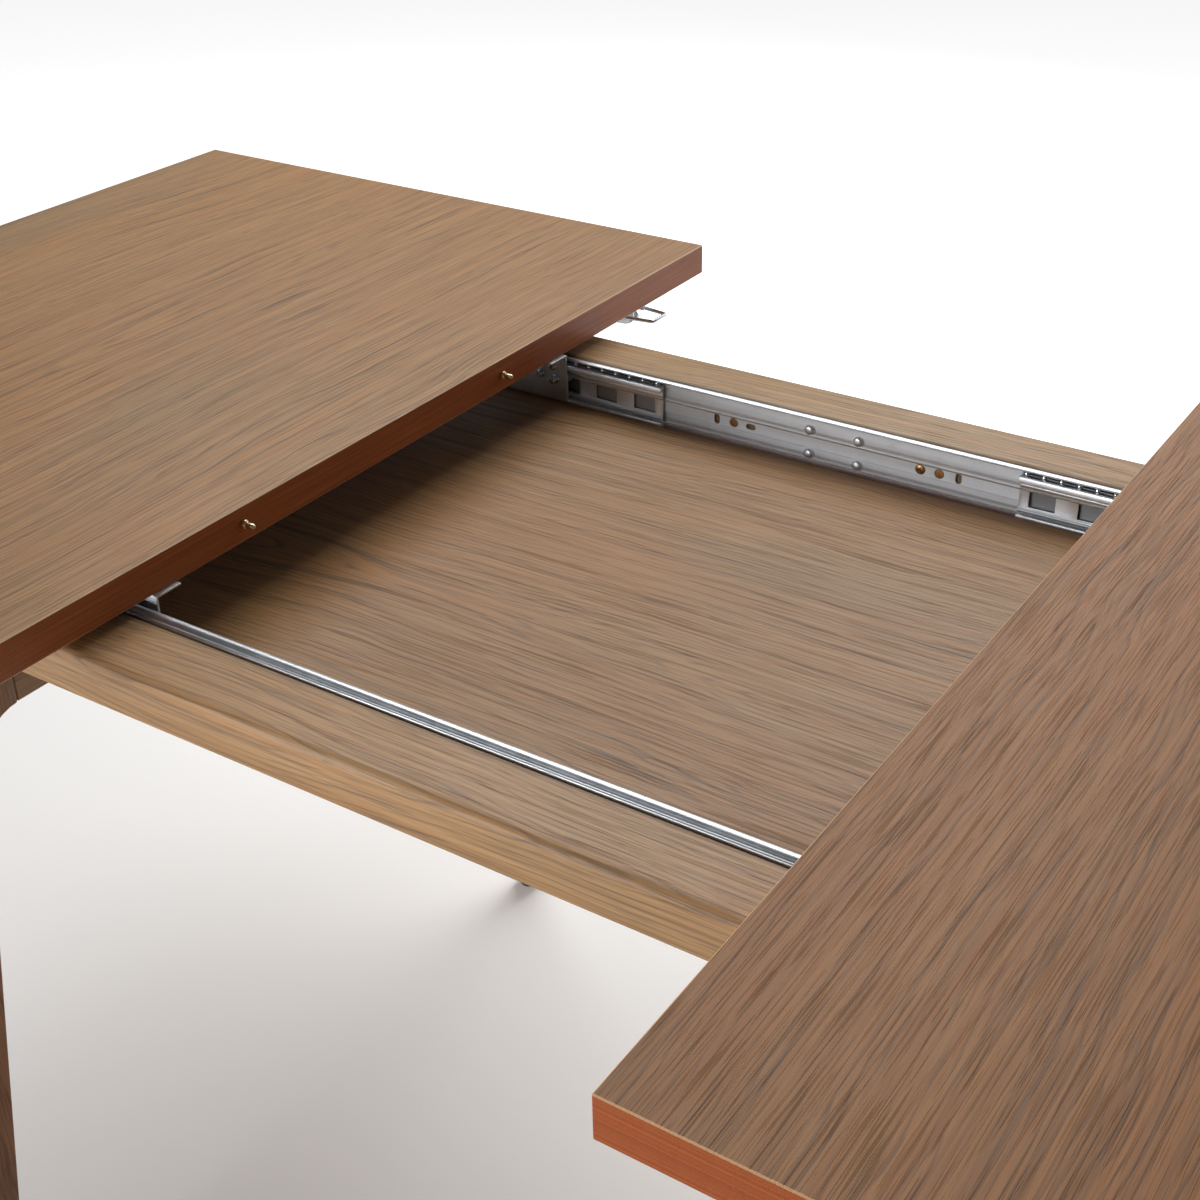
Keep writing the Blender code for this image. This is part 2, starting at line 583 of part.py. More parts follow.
def add_brackets(carriages):
    """Angle bracket: its upright leg on the inner member, its level leg screwed under the top."""
    outer = depth_to_y(BRACKET_DEPTH)
    inner = outer - BRACKET_SHEET
    low = LEAF_TOP + BRACKET_CLEARANCE
    high = UNDERSIDE - TOUCH
    outline = [(outer, low), (outer, high), (inner - BRACKET_FLANGE, high),
               (inner - BRACKET_FLANGE, high - BRACKET_SHEET), (inner, high - BRACKET_SHEET), (inner, low)]
    for name, face in FACES.items():
        for side_name, side in SIDES.items():
            where = name + "_" + side_name
            start = INNER_START[side_name]
            bm = extrude(outline, start, start + BRACKET_LENGTH)
            place = (side * start, face * outer, high)
            mesh = finished(bm, "bracket", (side, face, 1))
            bracket = put("top_bracket_" + where, mesh, ZINC, carriages[side_name], place)
            middle = inner - BRACKET_FLANGE / 2
            hole = [(high - 0.004, 0.0024), (high + 0.001, 0.0024)]
            spots = [start + BRACKET_LENGTH * share for share in (0.08, 0.36, 0.64, 0.92)]
            boolean(bracket, [turned(hole, (x, middle, 0), "z", 10) for x in spots],
                    flip=(side, face, 1))


def add_cables():
    """Sync cable: one endless loop round the two pulleys of each slide."""
    for name, face in FACES.items():
        data = bpy.data.curves.new("cable", "CURVE")
        data.dimensions = "3D"
        data.bevel_depth = CABLE_RADIUS
        data.bevel_resolution = 2
        route = arc((PULLEY_X, 0), PULLEY_WRAP, -90, 90, 12)
        route += arc((-PULLEY_X, 0), PULLEY_WRAP, 90, 270, 12)
        line = data.splines.new("POLY")
        line.points.add(len(route) - 1)
        for point, (x, z) in zip(line.points, route):
            point.co = (x, 0, z, 1)
        line.use_cyclic_u = True
        cable = bpy.data.objects.new("sync_cable_" + name, data)
        cable.location = (0, face * depth_to_y(CABLE_DEPTH), SLIDE_Z)
        bpy.context.scene.collection.objects.link(cable)
        data.materials.append(material("sync_cable_" + name, BRIGHT))


def add_pulleys():
    half = PULLEY_WIDTH / 2
    groove = PULLEY_WRAP - CABLE_RADIUS - 0.0002
    bore = STUD_RADIUS + 0.0002
    for name, face in FACES.items():
        for side_name, side in SIDES.items():
            place = (side * PULLEY_X, face * depth_to_y(CABLE_DEPTH), SLIDE_Z)
            rim = [(-half, bore), (-half, PULLEY_RIM), (-half + 0.0004, PULLEY_RIM), (-0.0004, groove),
                   (0.0004, groove), (half - 0.0004, PULLEY_RIM), (half, PULLEY_RIM), (half, bore)]
            bm = bmesh.new()
            sides = 20
            rings = [[bm.verts.new((place[0] + radius * cos(2 * pi * turn / sides), place[1] + along,
                                    place[2] + radius * sin(2 * pi * turn / sides)))
                      for turn in range(sides)] for along, radius in rim]
            for first, second in zip(rings, rings[1:] + rings[:1]):
                for turn in range(sides):
                    bm.faces.new((first[turn], first[turn - 1], second[turn - 1], second[turn]))
            mesh = finished(outward(bm), "pulley", smooth=30)
            put("pulley_" + name + "_" + side_name, mesh, NYLON, None, place)


# ---- draw latches ----------------------------------------------------------------------------------
LATCH_PIVOT_X = EDGE_X + LATCH_PIVOT_IN
LATCH_PIVOT_Z = UNDERSIDE - LATCH_PIVOT_DROP
EYE_X = LATCH_PIVOT_X - EYE_FORWARD
EYE_Z = LATCH_PIVOT_Z - EYE_DROP
EAR_END = LATCH_PIVOT_X - 0.0045
EAR_BACK = LATCH_PIVOT_X + 0.0050


def latch_base(face):
    """Plate under the top with two ears for the pivot and two guide ears in front of them."""
    high, low = UNDERSIDE - TOUCH, UNDERSIDE - TOUCH - EAR_SHEET
    foot = LATCH_PIVOT_Z - 0.0050
    inside, outside, wide = EAR_INSIDE, EAR_INSIDE + EAR_SHEET, 0.0150
    half = [(wide, high), (wide, low), (outside, low), (outside, foot), (inside, foot), (inside, low)]
    outline = [(LATCH_Y + y, z) for y, z in half] + [(LATCH_Y - y, z) for y, z in reversed(half)]
    bm = extrude(outline, LATCH_PIVOT_X - GUIDE_START, EAR_BACK + 0.0220)
    base = put("latch_base_" + face, finished(bm, "latch_base", (-1, FACES[face], 1)), ZINC)
    trims = [box((start, LATCH_Y - 0.02, foot - 0.002), (end, LATCH_Y + 0.02, low))
             for start, end in ((LATCH_PIVOT_X - GUIDE_END, EAR_END), (EAR_BACK, EAR_BACK + 0.030))]
    bore = turned([(LATCH_Y - 0.02, LATCH_BORE), (LATCH_Y + 0.02, LATCH_BORE)],
                  (LATCH_PIVOT_X, 0, LATCH_PIVOT_Z), "y", 12)
    boolean(base, trims, flip=(-1, FACES[face], 1))
    boolean(base, [bore], flip=(-1, FACES[face], 1))
    return base


def latch_lever(face):
    """Cupped lever: a hub on the pivot, a belly under the bail's eyes and a tail to pull on."""
    half = EAR_INSIDE - 0.0006
    x, z = LATCH_PIVOT_X, LATCH_PIVOT_Z
    outline = arc((x, z), 0.0036, 60, 120, 3) + arc((EYE_X, EYE_Z), 0.0024, 110, 160, 2)
    outline += [(x + along, z + level) for along, level in (
        (-0.0168, -0.0068), (-0.0205, -0.0108), (-0.0190, -0.0128), (-0.0140, -0.0142),
        (-0.0060, -0.0146), (0.0010, -0.0138),
        (0.0100, -0.0118), (0.0240, -0.0102), (0.0330, -0.0080), (0.0332, -0.0062), (0.0240, -0.0080),
        (0.0100, -0.0090), (0.0060, -0.0020))]
    bm = extrude(outline, LATCH_Y - half, LATCH_Y + half, "y")
    pivot = (-LATCH_PIVOT_X, FACES[face] * LATCH_Y, LATCH_PIVOT_Z)
    lever = put("latch_lever_" + face, finished(bm, "lever", (-1, FACES[face], 1)), BRIGHT, None, pivot)
    cuts = [turned([(LATCH_Y - 0.02, radius), (LATCH_Y + 0.02, radius)], (x, 0, z), "y", 12)
            for x, z, radius in ((LATCH_PIVOT_X, LATCH_PIVOT_Z, LATCH_BORE),
                                 (EYE_X, EYE_Z, BAIL_WIRE + TOUCH))]
    boolean(lever, cuts, flip=(-1, FACES[face], 1))
    return lever


def bail_route():
    """The bail's wire from its left eye round to its right eye, about the eye axis, as (X, Y, Z)."""
    half, foot, bend = BAIL_HALF_WIDTH, BAIL_FOOT_WIDTH, 0.0035
    corner = [(BAIL_REACH - bend + bend * sin(turn), half - bend + bend * cos(turn))
              for turn in (radians(angle) for angle in (0, 30, 60, 90))]
    first = [(x, y, 0) for x, y in [(0, EAR_INSIDE - 0.0022), (0, foot - 0.0015), (0.0015, foot)] + corner]
    return first + [(x, -y, z) for x, y, z in reversed(first)]


def latch_bail(face):
    data = bpy.data.curves.new("bail", "CURVE")
    data.dimensions = "3D"
    data.bevel_depth = BAIL_WIRE
    data.bevel_resolution = 2
    data.use_fill_caps = True
    line = data.splines.new("POLY")
    route = bail_route()
    line.points.add(len(route) - 1)
    for point, spot in zip(line.points, route):
        point.co = (*spot, 1)
    bail = bpy.data.objects.new("latch_bail_" + face, data)
    bail.location = (-EYE_X, FACES[face] * LATCH_Y, EYE_Z)
    bpy.context.scene.collection.objects.link(bail)
    data.materials.append(material("latch_bail_" + face, BRIGHT))
    return bail


def latch_pin(face):
    reach = EAR_INSIDE + EAR_SHEET + 0.0008
    place = (-LATCH_PIVOT_X, FACES[face] * LATCH_Y, LATCH_PIVOT_Z)
    bm = turned([(-reach, LATCH_PIN_RADIUS), (reach, LATCH_PIN_RADIUS)], place, "y", 12)
    return put("latch_pin_" + face, finished(bm, "latch_pin", smooth=35), BRIGHT, None, place)


def keeper(face):
    """Strike on the right half top: a plate with a hooked tongue that the bail pulls on."""
    high, low = UNDERSIDE - TOUCH, UNDERSIDE - TOUCH - EAR_SHEET
    start = EDGE_X + 0.0026
    outline = [(start, high), (start, low - 0.0030), (start + 0.0032, low - 0.0038),
               (start + 0.0032, low - 0.0024), (start + 0.0016, low - 0.0018), (start + 0.0016, low),
               (start + 0.0260, low), (start + 0.0260, high)]
    bm = extrude(outline, LATCH_Y - 0.0080, LATCH_Y + 0.0080, "y")
    return put("keeper_" + face, finished(bm, "keeper", (1, FACES[face], 1)), ZINC)


def add_latches(carriages):
    for face in LATCHED:
        for item in (latch_base(face), latch_lever(face), latch_bail(face), latch_pin(face)):
            item.location -= carriages["left"].location
            item.parent = carriages["left"]
        strike = keeper(face)
        strike.location -= carriages["right"].location
        strike.parent = carriages["right"]


# ---- the whole table -------------------------------------------------------------------------------
def build():
    clear_scene()
    carriages = {name: carrier("carriage_" + name, (side * EDGE_X, 0, UNDERSIDE))
                 for name, side in SIDES.items()}
    middles, cages = {}, {}
    for face_name, face in FACES.items():
        for side_name, side in SIDES.items():
            where = face_name + "_" + side_name
            spot = (side * CARRIAGE_START, face * RAIL_INNER_Y, SLIDE_Z)
            middles[where] = carrier("middle_" + where, spot)
            cages[where] = carrier("cage_" + where, spot)
    add_tops(carriages)
    add_pins(carriages["left"])
    add_leaf(carrier("leaf_carrier", (0, 0, LEAF_Z)))
    add_rails()
    add_cross_aprons()
    add_legs()
    add_channels()
    add_screws()
    add_carriages(middles)
    add_cages(cages)
    add_inner_members(carriages)
    add_brackets(carriages)
    add_cables()
    add_pulleys()
    add_latches(carriages)


build()
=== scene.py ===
import bmesh
import bpy
import json
from math import ceil, cos, pi, radians, sin
from mathutils import Matrix, Vector

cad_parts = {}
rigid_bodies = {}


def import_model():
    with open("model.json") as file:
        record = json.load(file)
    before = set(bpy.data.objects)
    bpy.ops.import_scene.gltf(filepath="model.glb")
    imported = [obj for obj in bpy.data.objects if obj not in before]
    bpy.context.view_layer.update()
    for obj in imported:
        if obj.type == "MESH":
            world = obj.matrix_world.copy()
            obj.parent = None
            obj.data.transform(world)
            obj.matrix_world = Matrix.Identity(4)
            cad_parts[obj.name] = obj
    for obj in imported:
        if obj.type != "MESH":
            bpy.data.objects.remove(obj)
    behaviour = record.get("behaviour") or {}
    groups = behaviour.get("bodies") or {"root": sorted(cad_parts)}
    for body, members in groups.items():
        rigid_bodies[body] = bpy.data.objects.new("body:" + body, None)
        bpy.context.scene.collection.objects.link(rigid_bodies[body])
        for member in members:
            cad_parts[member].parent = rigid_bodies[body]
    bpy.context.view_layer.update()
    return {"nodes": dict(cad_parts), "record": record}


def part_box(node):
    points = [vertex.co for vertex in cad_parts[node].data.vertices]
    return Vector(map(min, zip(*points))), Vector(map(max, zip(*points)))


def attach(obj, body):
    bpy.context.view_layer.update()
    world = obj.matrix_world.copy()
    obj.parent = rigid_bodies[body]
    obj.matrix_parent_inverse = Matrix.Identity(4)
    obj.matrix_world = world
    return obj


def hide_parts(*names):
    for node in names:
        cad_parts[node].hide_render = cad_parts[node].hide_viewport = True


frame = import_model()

bl_info = {
    "name": "Extending Dining Table",
    "version": (1, 0, 0),
    "blender": (4, 5, 0),
    "location": "View3D > Sidebar > Table",
    "description": "Dresses an extending oak dining table with its ball slides, latches and stage",
    "category": "Object",
}

FACES = {"front": -1, "back": 1}
SIDES = {"left": -1, "right": 1}
PLACES = [(face, side) for face in FACES for side in SIDES]
TOP_LOW, TOP_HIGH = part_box("top_right")
CHANNEL_LOW, CHANNEL_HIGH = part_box("channel_back")
EDGE_X = TOP_LOW.x
SURFACE = TOP_HIGH.z
RAIL_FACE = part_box("rail_back")[0].y
SLIDE_Z = (CHANNEL_LOW.z + CHANNEL_HIGH.z) / 2
LEVEL_SLOT_X = 0.0718        # middle of each channel's level slot
BRACKET_SHEET = 0.0015
BALL_DEPTH = 0.00625         # rail's face to the balls' middles
WEB_HALF_HEIGHT = 0.0190     # of the channels' flat web
BRACKET_FIXINGS = (          # bracket's end to the middle, height over the slide's middle, radius, length
    (0.0102, 0.0074, 0.0030, 0.0078), (0.0120, 0.0179, 0.0026, 0.0046), (0.0244, 0.0094, 0.0030, 0.0050),
    (0.1100, 0.0040, 0.0030, 0.0040), (0.2000, 0.0040, 0.0030, 0.0040), (0.2850, 0.0040, 0.0030, 0.0040))


def middle(node):
    low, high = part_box(node)
    return (low + high) / 2


# ---- expressions on sockets -------------------------------------------------------------------------
class Term:
    """One output socket that can stand in an expression; arithmetic adds Math nodes."""

    def __init__(self, tree, socket):
        self.tree, self.socket = tree, socket

    def _math(self, operation, first, second):
        return self.tree.node("ShaderNodeMath", {"operation": operation}, {0: first, 1: second})

    def __add__(self, other):
        return self._math("ADD", self, other)

    __radd__ = __add__

    def __sub__(self, other):
        return self._math("SUBTRACT", self, other)

    def __rsub__(self, other):
        return self._math("SUBTRACT", other, self)

    def __mul__(self, other):
        return self._math("MULTIPLY", self, other)

    __rmul__ = __mul__

    def __truediv__(self, other):
        return self._math("DIVIDE", self, other)

    def __pow__(self, other):
        return self._math("POWER", self, other)


class Tree:
    """A node tree and the one way nodes are added to it."""

    def __init__(self, nodes):
        self.tree = nodes

    def node(self, kind, settings=None, inputs=None, output=0):
        """Add a node: its settings first, then the values or links of its sockets."""
        made = self.tree.nodes.new(kind)
        for name, value in (settings or {}).items():
            if name == "stops":
                self._stops(made.color_ramp.elements, value)
            else:
                setattr(made, name, value)
        for name, value in (inputs or {}).items():
            target = made.inputs[name]
            if isinstance(value, Term):
                self.tree.links.new(value.socket, target)
            elif value is not None:
                target.default_value = value
        return Term(self, made.outputs[output])

    def _stops(self, elements, stops):
        while len(elements) < len(stops):
            elements.new(1.0)
        for element, (place, colour) in zip(elements, stops):
            element.position, element.color = place, (*colour, 1.0)

    def part(self, term, output):
        """Another output of the node that a term came from."""
        return Term(self, term.socket.node.outputs[output])


class Finish(Tree):
    """A procedural material that reads Object coordinates."""

    def __init__(self, name):
        self.material = bpy.data.materials.new(name)
        self.material.use_nodes = True
        super().__init__(self.material.node_tree)
        self.shader = self.tree.nodes["Principled BSDF"]
        spot = self.node("ShaderNodeTexCoord", output="Object")
        split = self.node("ShaderNodeSeparateXYZ", inputs={0: spot})
        self.x, self.y, self.z = (self.part(split, index) for index in range(3))

    def vector(self, x, y, z):
        return self.node("ShaderNodeCombineXYZ", inputs={0: x, 1: y, 2: z})

    def noise(self, x, y, z, detail=2.0, roughness=0.5, distortion=0.0):
        """Noise from 0 to 1 whose cells are a unit wide in the numbers given."""
        return self.node("ShaderNodeTexNoise", {"noise_dimensions": "3D"},
                         {"Vector": self.vector(x, y, z), "Scale": 1.0, "Detail": detail,
                          "Roughness": roughness, "Distortion": distortion})

    def ease(self, value, low, high):
        """0 below low, 1 above high, smooth between."""
        return self.node("ShaderNodeMapRange", {"interpolation_type": "SMOOTHSTEP"},
                         {"Value": value, "From Min": low, "From Max": high})

    def mix(self, share, first, second, way="MIX"):
        return self.node("ShaderNodeMix", {"data_type": "RGBA", "blend_type": way, "clamp_factor": True},
                         {0: share, 6: paint(first), 7: paint(second)}, output=2)

    def one(self, operation, value, other=0.5):
        return self.node("ShaderNodeMath", {"operation": operation}, {0: value, 1: other})

    def bump(self, height, distance, strength=1.0):
        normal = self.node("ShaderNodeBump", inputs={"Height": height, "Distance": distance,
                                                     "Strength": strength})
        self.set("Normal", normal)

    def set(self, name, value):
        target = self.shader.inputs[name]
        if isinstance(value, Term):
            self.tree.links.new(value.socket, target)
        else:
            target.default_value = paint(value)


def paint(colour):
    """A colour of three numbers, given its alpha; anything else is passed on."""
    return (*colour, 1.0) if hasattr(colour, "__len__") and len(colour) == 3 else colour


# ---- finishes ---------------------------------------------------------------------------------------
def oak(name, grain, heart, seed, board=False, depth=0.0, light_and_shade_tone=(1.0, 1.0, 1.0), run=1.0, gloss=0.36,
        painted_edge_shade=False):
    """Stained oak cut from a log whose heart lies under heart, with open pores in each ring.

    grain is the axis the fibres follow, heart the place across them where the cathedral figure
    stands, and depth how far the log's middle lies below the surface. A board gets a lipping round
    its edge. tone multiplies the colours as painted light and shade, run stretches the pores, gloss
    is the lacquer's specular level, and painted_edge_shade paints shade on the rounded edge next to the
    slide.
    """
    wood = bpy.context.scene.table_wood
    skin = Finish(name)
    along, across, deep = {"x": (skin.x, skin.y, skin.z), "y": (skin.y, skin.x, skin.z),
                           "z": (skin.z, skin.y, skin.x)}[grain]
    sway = skin.noise(along * 2.6 + seed, across * 3.6, deep * 3.6, 2.0) - 0.5
    ripple = skin.noise(along * 18.0 + seed, across * 26.0, deep * 26.0, 2.0) - 0.5
    lean = skin.noise(along * 1.6, 0.0, seed * 1.3, 1.0) - 0.5
    level = deep - (SURFACE - depth) + lean * 0.14
    sideways = across - heart + sway * 0.075 + ripple * 0.0060
    radius = (sideways * sideways + level * level) ** 0.5
    uneven = skin.noise(radius * 45.0, along * 1.0, seed, 3.0, 0.7) - 0.5
    ring = skin.one("FRACT", radius / wood.ring_spacing + uneven * 1.5)
    line = skin.ease(ring, 0.0, 0.04) * (1.0 - skin.ease(ring, 0.04, 0.17))
    early = skin.ease(ring, 0.0, 0.12) * (1.0 - skin.ease(ring, 0.20, 0.80))
    faint = skin.ease(skin.noise(across * 11.0, along * 5.0, seed + 4.0, 2.0), 0.40, 0.66)
    pores = skin.noise(across * 900.0, along * (30.0 / run) + seed, deep * 900.0, 2.0, 0.6)
    dashes = skin.ease(pores, 0.53, 0.63) * (0.60 + early * 0.40)
    wander = skin.noise(across * 60.0, along * (6.0 / run), seed + 9.0, 3.0, 0.7) * 2.6
    fine = skin.one("FRACT", radius / wood.thread_spacing + wander)
    present = skin.ease(skin.noise(across * 150.0, along * (9.0 / run) - seed, deep * 150.0, 2.0), 0.38, 0.58)
    thread = skin.ease(fine, 0.0, 0.15) * (1.0 - skin.ease(fine, 0.15, 0.50)) * present
    fibre = skin.noise(across * 2100.0, along * (60.0 / run), deep * 2100.0 + seed, 2.0, 0.6)
    streak = skin.noise(across * 430.0, along * (9.0 / run) + seed, deep * 430.0, 3.0, 0.75)
    band = skin.noise(across * 130.0, along * 4.0 - seed, deep * 130.0, 2.0, 0.6)
    cloud = skin.noise(across * 8.0 + seed, along * 3.0, deep * 8.0, 2.0)
    patch = skin.noise(across * 6.0, along * 2.6 - seed, deep * 6.0, 1.0)
    colour = skin.mix(skin.ease(streak, 0.36, 0.64), wood.light, wood.middle)
    layers = [(skin.ease(band, 0.46, 0.70), 0.55, wood.warm), (skin.ease(cloud, 0.48, 0.78), 0.60, wood.warm),
              (skin.ease(patch, 0.52, 0.76), 0.50, wood.grey), (early, 0.10, wood.ring),
              (line * faint, 0.75, wood.ring), (skin.ease(streak, 0.56, 0.70), 0.38, wood.ring),
              (skin.ease(fibre, 0.45, 0.80), 0.20, wood.ring), (dashes, 0.32, wood.pore),
              (thread, 0.50, wood.pore)]
    # Painted shade: the rounded edge of a rail next to its slide is darkened toward the ring colour.
    if painted_edge_shade:
        side = skin.one("ABSOLUTE", skin.y)
        layers.append((1.0 - skin.ease(side, RAIL_FACE + 0.0038, RAIL_FACE + 0.0062), 0.65, wood.ring))
    for mask, share, stain in layers:
        colour = skin.mix(mask * share, colour, stain)
    if board:
        colour = lipping(skin, colour, wood, along, seed)
    # Painted light and shade: tone lightens, darkens or greys this piece's copy of the oak.
    colour = skin.mix(1.0, colour, light_and_shade_tone, "MULTIPLY")
    skin.set("Base Color", colour)
    skin.set("Roughness", 0.42 + dashes * 0.20 + streak * 0.08)
    skin.set("Coat Weight", 0.06)
    skin.set("Coat Roughness", 0.32)
    skin.set("Specular IOR Level", gloss)
    skin.bump(fibre * 0.20 - dashes - line * 0.20, 0.00012)
    return skin.material


def lipping(skin, colour, wood, along, seed):
    """Darker edge lipping on a board's upright faces, and a light line along its arris, part rubbed wear and
    part painted highlight.
    """
    facing = skin.node("ShaderNodeNewGeometry", output="True Normal")
    split = skin.node("ShaderNodeSeparateXYZ", inputs={0: facing})
    level = skin.one("ABSOLUTE", skin.part(split, 2))
    upright = 1.0 - skin.ease(level, 0.20, 0.50)
    # The arris line on the bevel faces is partly rubbed wear and partly a painted highlight.
    arris = skin.ease(level, 0.20, 0.50) * (1.0 - skin.ease(level, 0.85, 0.95))
    grain = skin.noise(along * 9.0 + seed, skin.z * 900.0, 0.0, 3.0, 0.6)
    lip = skin.mix(skin.ease(grain, 0.3, 0.7), wood.edge, wood.edge_dark)
    colour = skin.mix(upright, colour, lip)
    wear_and_sheen = skin.noise(along * 60.0, seed, 0.0, 2.0)
    return skin.mix(arris * (0.45 + wear_and_sheen * 0.5), colour, wood.arris)


def steel(name, colour, roughness, seed=0.0, spangle=0.06, drawn="x", web=None):
    """Rolled and plated steel: faint spangle, drawing lines along it and a little soil.

    web lists (half height, metallic, roughness) of a channel's flat web, which is duller than its
    rolled lips and the stops pressed out of it. The rolled lips carry painted shade.
    """
    skin = Finish(name)
    long, wide, deep = {"x": (skin.x, skin.y, skin.z), "y": (skin.y, skin.x, skin.z),
                        "z": (skin.z, skin.x, skin.y)}[drawn]
    flakes = skin.node("ShaderNodeTexVoronoi", {"feature": "F1"},
                       {"Vector": skin.vector(skin.x * 190.0, skin.y * 190.0 + seed, skin.z * 190.0),
                        "Scale": 1.0}, output="Color")
    flake = skin.node("ShaderNodeSeparateColor", inputs={0: flakes})
    lines = skin.noise(long * 18.0 + seed, wide * 2400.0, deep * 2400.0, 2.0, 0.6)
    soil = skin.ease(skin.noise(skin.x * 55.0, skin.y * 55.0, skin.z * 55.0 + seed, 4.0, 0.6), 0.50, 0.80)
    bright = skin.mix(flake * spangle * 4.0, colour, tuple(min(1.0, part * 1.12) for part in colour))
    soil_and_painted_shade = skin.mix(soil * 0.35, bright, tuple(part * 0.72 for part in colour))
    polish = roughness + flake * spangle + soil * 0.14 + lines * 0.06
    if web:
        height, metallic, dull = web
        level = skin.one("ABSOLUTE", skin.z - SLIDE_Z)
        raised = 1.0 - skin.ease(skin.one("ABSOLUTE", skin.y), RAIL_FACE - 0.0030, RAIL_FACE - 0.0022)
        rolled = skin.ease(level, height - 0.0010, height)
        # Painted shade: the rolled lips are darkened to dim their highlight.
        soil_and_painted_shade = skin.mix(rolled * 0.35, soil_and_painted_shade, tuple(part * 0.45 for part in colour))
        rolled = skin.one("MAXIMUM", rolled, raised)
        skin.set("Metallic", metallic + rolled * (1.0 - metallic))
        polish = polish + (1.0 - rolled) * (dull - roughness)
    else:
        skin.set("Metallic", 1.0)
    skin.set("Base Color", soil_and_painted_shade)
    skin.set("Roughness", polish)
    skin.bump(lines, 0.00003)
    return skin.material


def nylon(name, colour):
    """Moulded black nylon with a fine grain."""
    skin = Finish(name)
    grain = skin.noise(skin.x * 2600.0, skin.y * 2600.0, skin.z * 2600.0, 2.0)
    dust = skin.ease(skin.noise(skin.x * 240.0, skin.y * 240.0, skin.z * 240.0, 3.0), 0.55, 0.85)
    skin.set("Base Color", skin.mix(dust * 0.25, colour, (0.12, 0.12, 0.12)))
    skin.set("Roughness", 0.50 + grain * 0.12)
    skin.bump(grain, 0.00004)
    return skin.material


def pale_floor(name, colour):
    skin = Finish(name)
    drift = skin.noise(skin.x * 0.9, skin.y * 0.9, 0.0, 3.0)
    tooth = skin.noise(skin.x * 420.0, skin.y * 420.0, 0.0, 2.0)
    skin.set("Base Color", skin.mix(drift * 0.5, colour, tuple(part * 0.985 for part in colour)))
    skin.set("Roughness", 0.72 + tooth * 0.06)
    # Painted light: the floor glows, faintly near the front and brightly further back along y.
    skin.set("Emission Color", skin.mix(skin.ease(skin.y, 0.0, 2.2), (0.04, 0.04, 0.04), (0.85, 0.85, 0.85)))
    skin.set("Emission Strength", 1.0)
    skin.bump(tooth, 0.00005)
    return skin.material


FINISHES = {}                # by name, once made


def finishes():
    """Every finish of the table, made once."""
    if FINISHES:
        return FINISHES
    metal = bpy.context.scene.table_metal
    # The tone of each oak below is painted light and shade: lighter, darker or greyer copies of one oak.
    FINISHES.update(
        top_left=oak("oak_top_left", "y", -0.52, 3.1, board=True, depth=0.012, light_and_shade_tone=(1.18, 1.17, 1.15),
                     run=2.0),
        top_right=oak("oak_top_right", "y", 0.47, 8.7, board=True, depth=0.010, light_and_shade_tone=(1.02, 0.81, 0.62),
                      run=2.0, gloss=0.20),
        leaf=oak("oak_leaf", "x", -0.08, 5.3, board=True, depth=0.085, light_and_shade_tone=(1.07, 1.03, 0.92), run=2.2),
        rail=oak("oak_rail", "x", 0.21, 11.9, depth=0.035, light_and_shade_tone=(1.25, 1.36, 1.42), run=1.6,
                 painted_edge_shade=True),
        rail_front=oak("oak_rail_front", "x", -0.31, 14.2, depth=0.030, light_and_shade_tone=(1.33, 1.38, 1.42), run=1.6,
                       painted_edge_shade=True),
        apron=oak("oak_apron", "y", 0.30, 17.5, depth=0.100),
        leg=oak("oak_leg", "z", 0.10, 21.4, depth=0.900, light_and_shade_tone=(0.85, 0.60, 0.40)),
        zinc=steel("zinc_plate", tuple(metal.zinc), 0.36, 1.0),
        channel=steel("zinc_channel", tuple(metal.zinc), 0.34, 4.0, 0.06, web=(WEB_HALF_HEIGHT, 0.10, 0.50)),
        cage=steel("cage_strip", tuple(metal.cage), 0.42, 7.0, 0.02),
        bright=steel("nickel_bright", tuple(metal.bright), 0.16, 9.0, 0.01, "y"),
        ball=steel("ball_steel", (0.86, 0.87, 0.89), 0.07, 2.0, 0.0),
        cable=steel("cable_steel", tuple(metal.cable), 0.36, 6.0, 0.04),
        brass=steel("pale_brass", tuple(metal.brass), 0.24, 3.0, 0.02),
        yellow=steel("yellow_zinc", tuple(metal.yellow), 0.30, 5.0, 0.05),
        nylon=nylon("black_nylon", (0.028, 0.028, 0.030)),
    )
    return FINISHES


# ---- meshes -----------------------------------------------------------------------------------------
def piece(mesh, name, body, slot, finish, stands_for=()):
    """Link a finished mesh as a piece that rides on a body."""
    item = bpy.data.objects.new(name, mesh)
    bpy.context.scene.collection.objects.link(item)
    mesh.materials.clear()
    mesh.materials.append(finish)
    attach(item, body)
    if stands_for:
        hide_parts(*stands_for)
    return item


def body_of(node):
    for body, nodes in frame["record"]["behaviour"]["bodies"].items():
        if node in nodes:
            return body
    raise KeyError(node)


def slot_of(node):
    for part in frame["record"]["subparts"]:
        if part["node"] == node:
            return part["material_slot"]
    raise KeyError(node)


def shade(mesh, angle=35.0):
    mesh.shade_smooth()
    mesh.set_sharp_from_angle(angle=radians(angle))
    return mesh


def baked(item):
    """The evaluated mesh of an object whose modifiers are then done with."""
    graph = bpy.context.evaluated_depsgraph_get()
    mesh = bpy.data.meshes.new_from_object(item.evaluated_get(graph))
    bpy.data.objects.remove(item)
    return mesh


def merged(node):
    """A copy of a CAD node's mesh with its loose triangles joined up again."""
    bm = bmesh.new()
    bm.from_mesh(frame["nodes"][node].data)
    bmesh.ops.remove_doubles(bm, verts=bm.verts, dist=2e-6)
    bmesh.ops.dissolve_limit(bm, angle_limit=radians(0.3), verts=bm.verts, edges=bm.edges)
    return bm


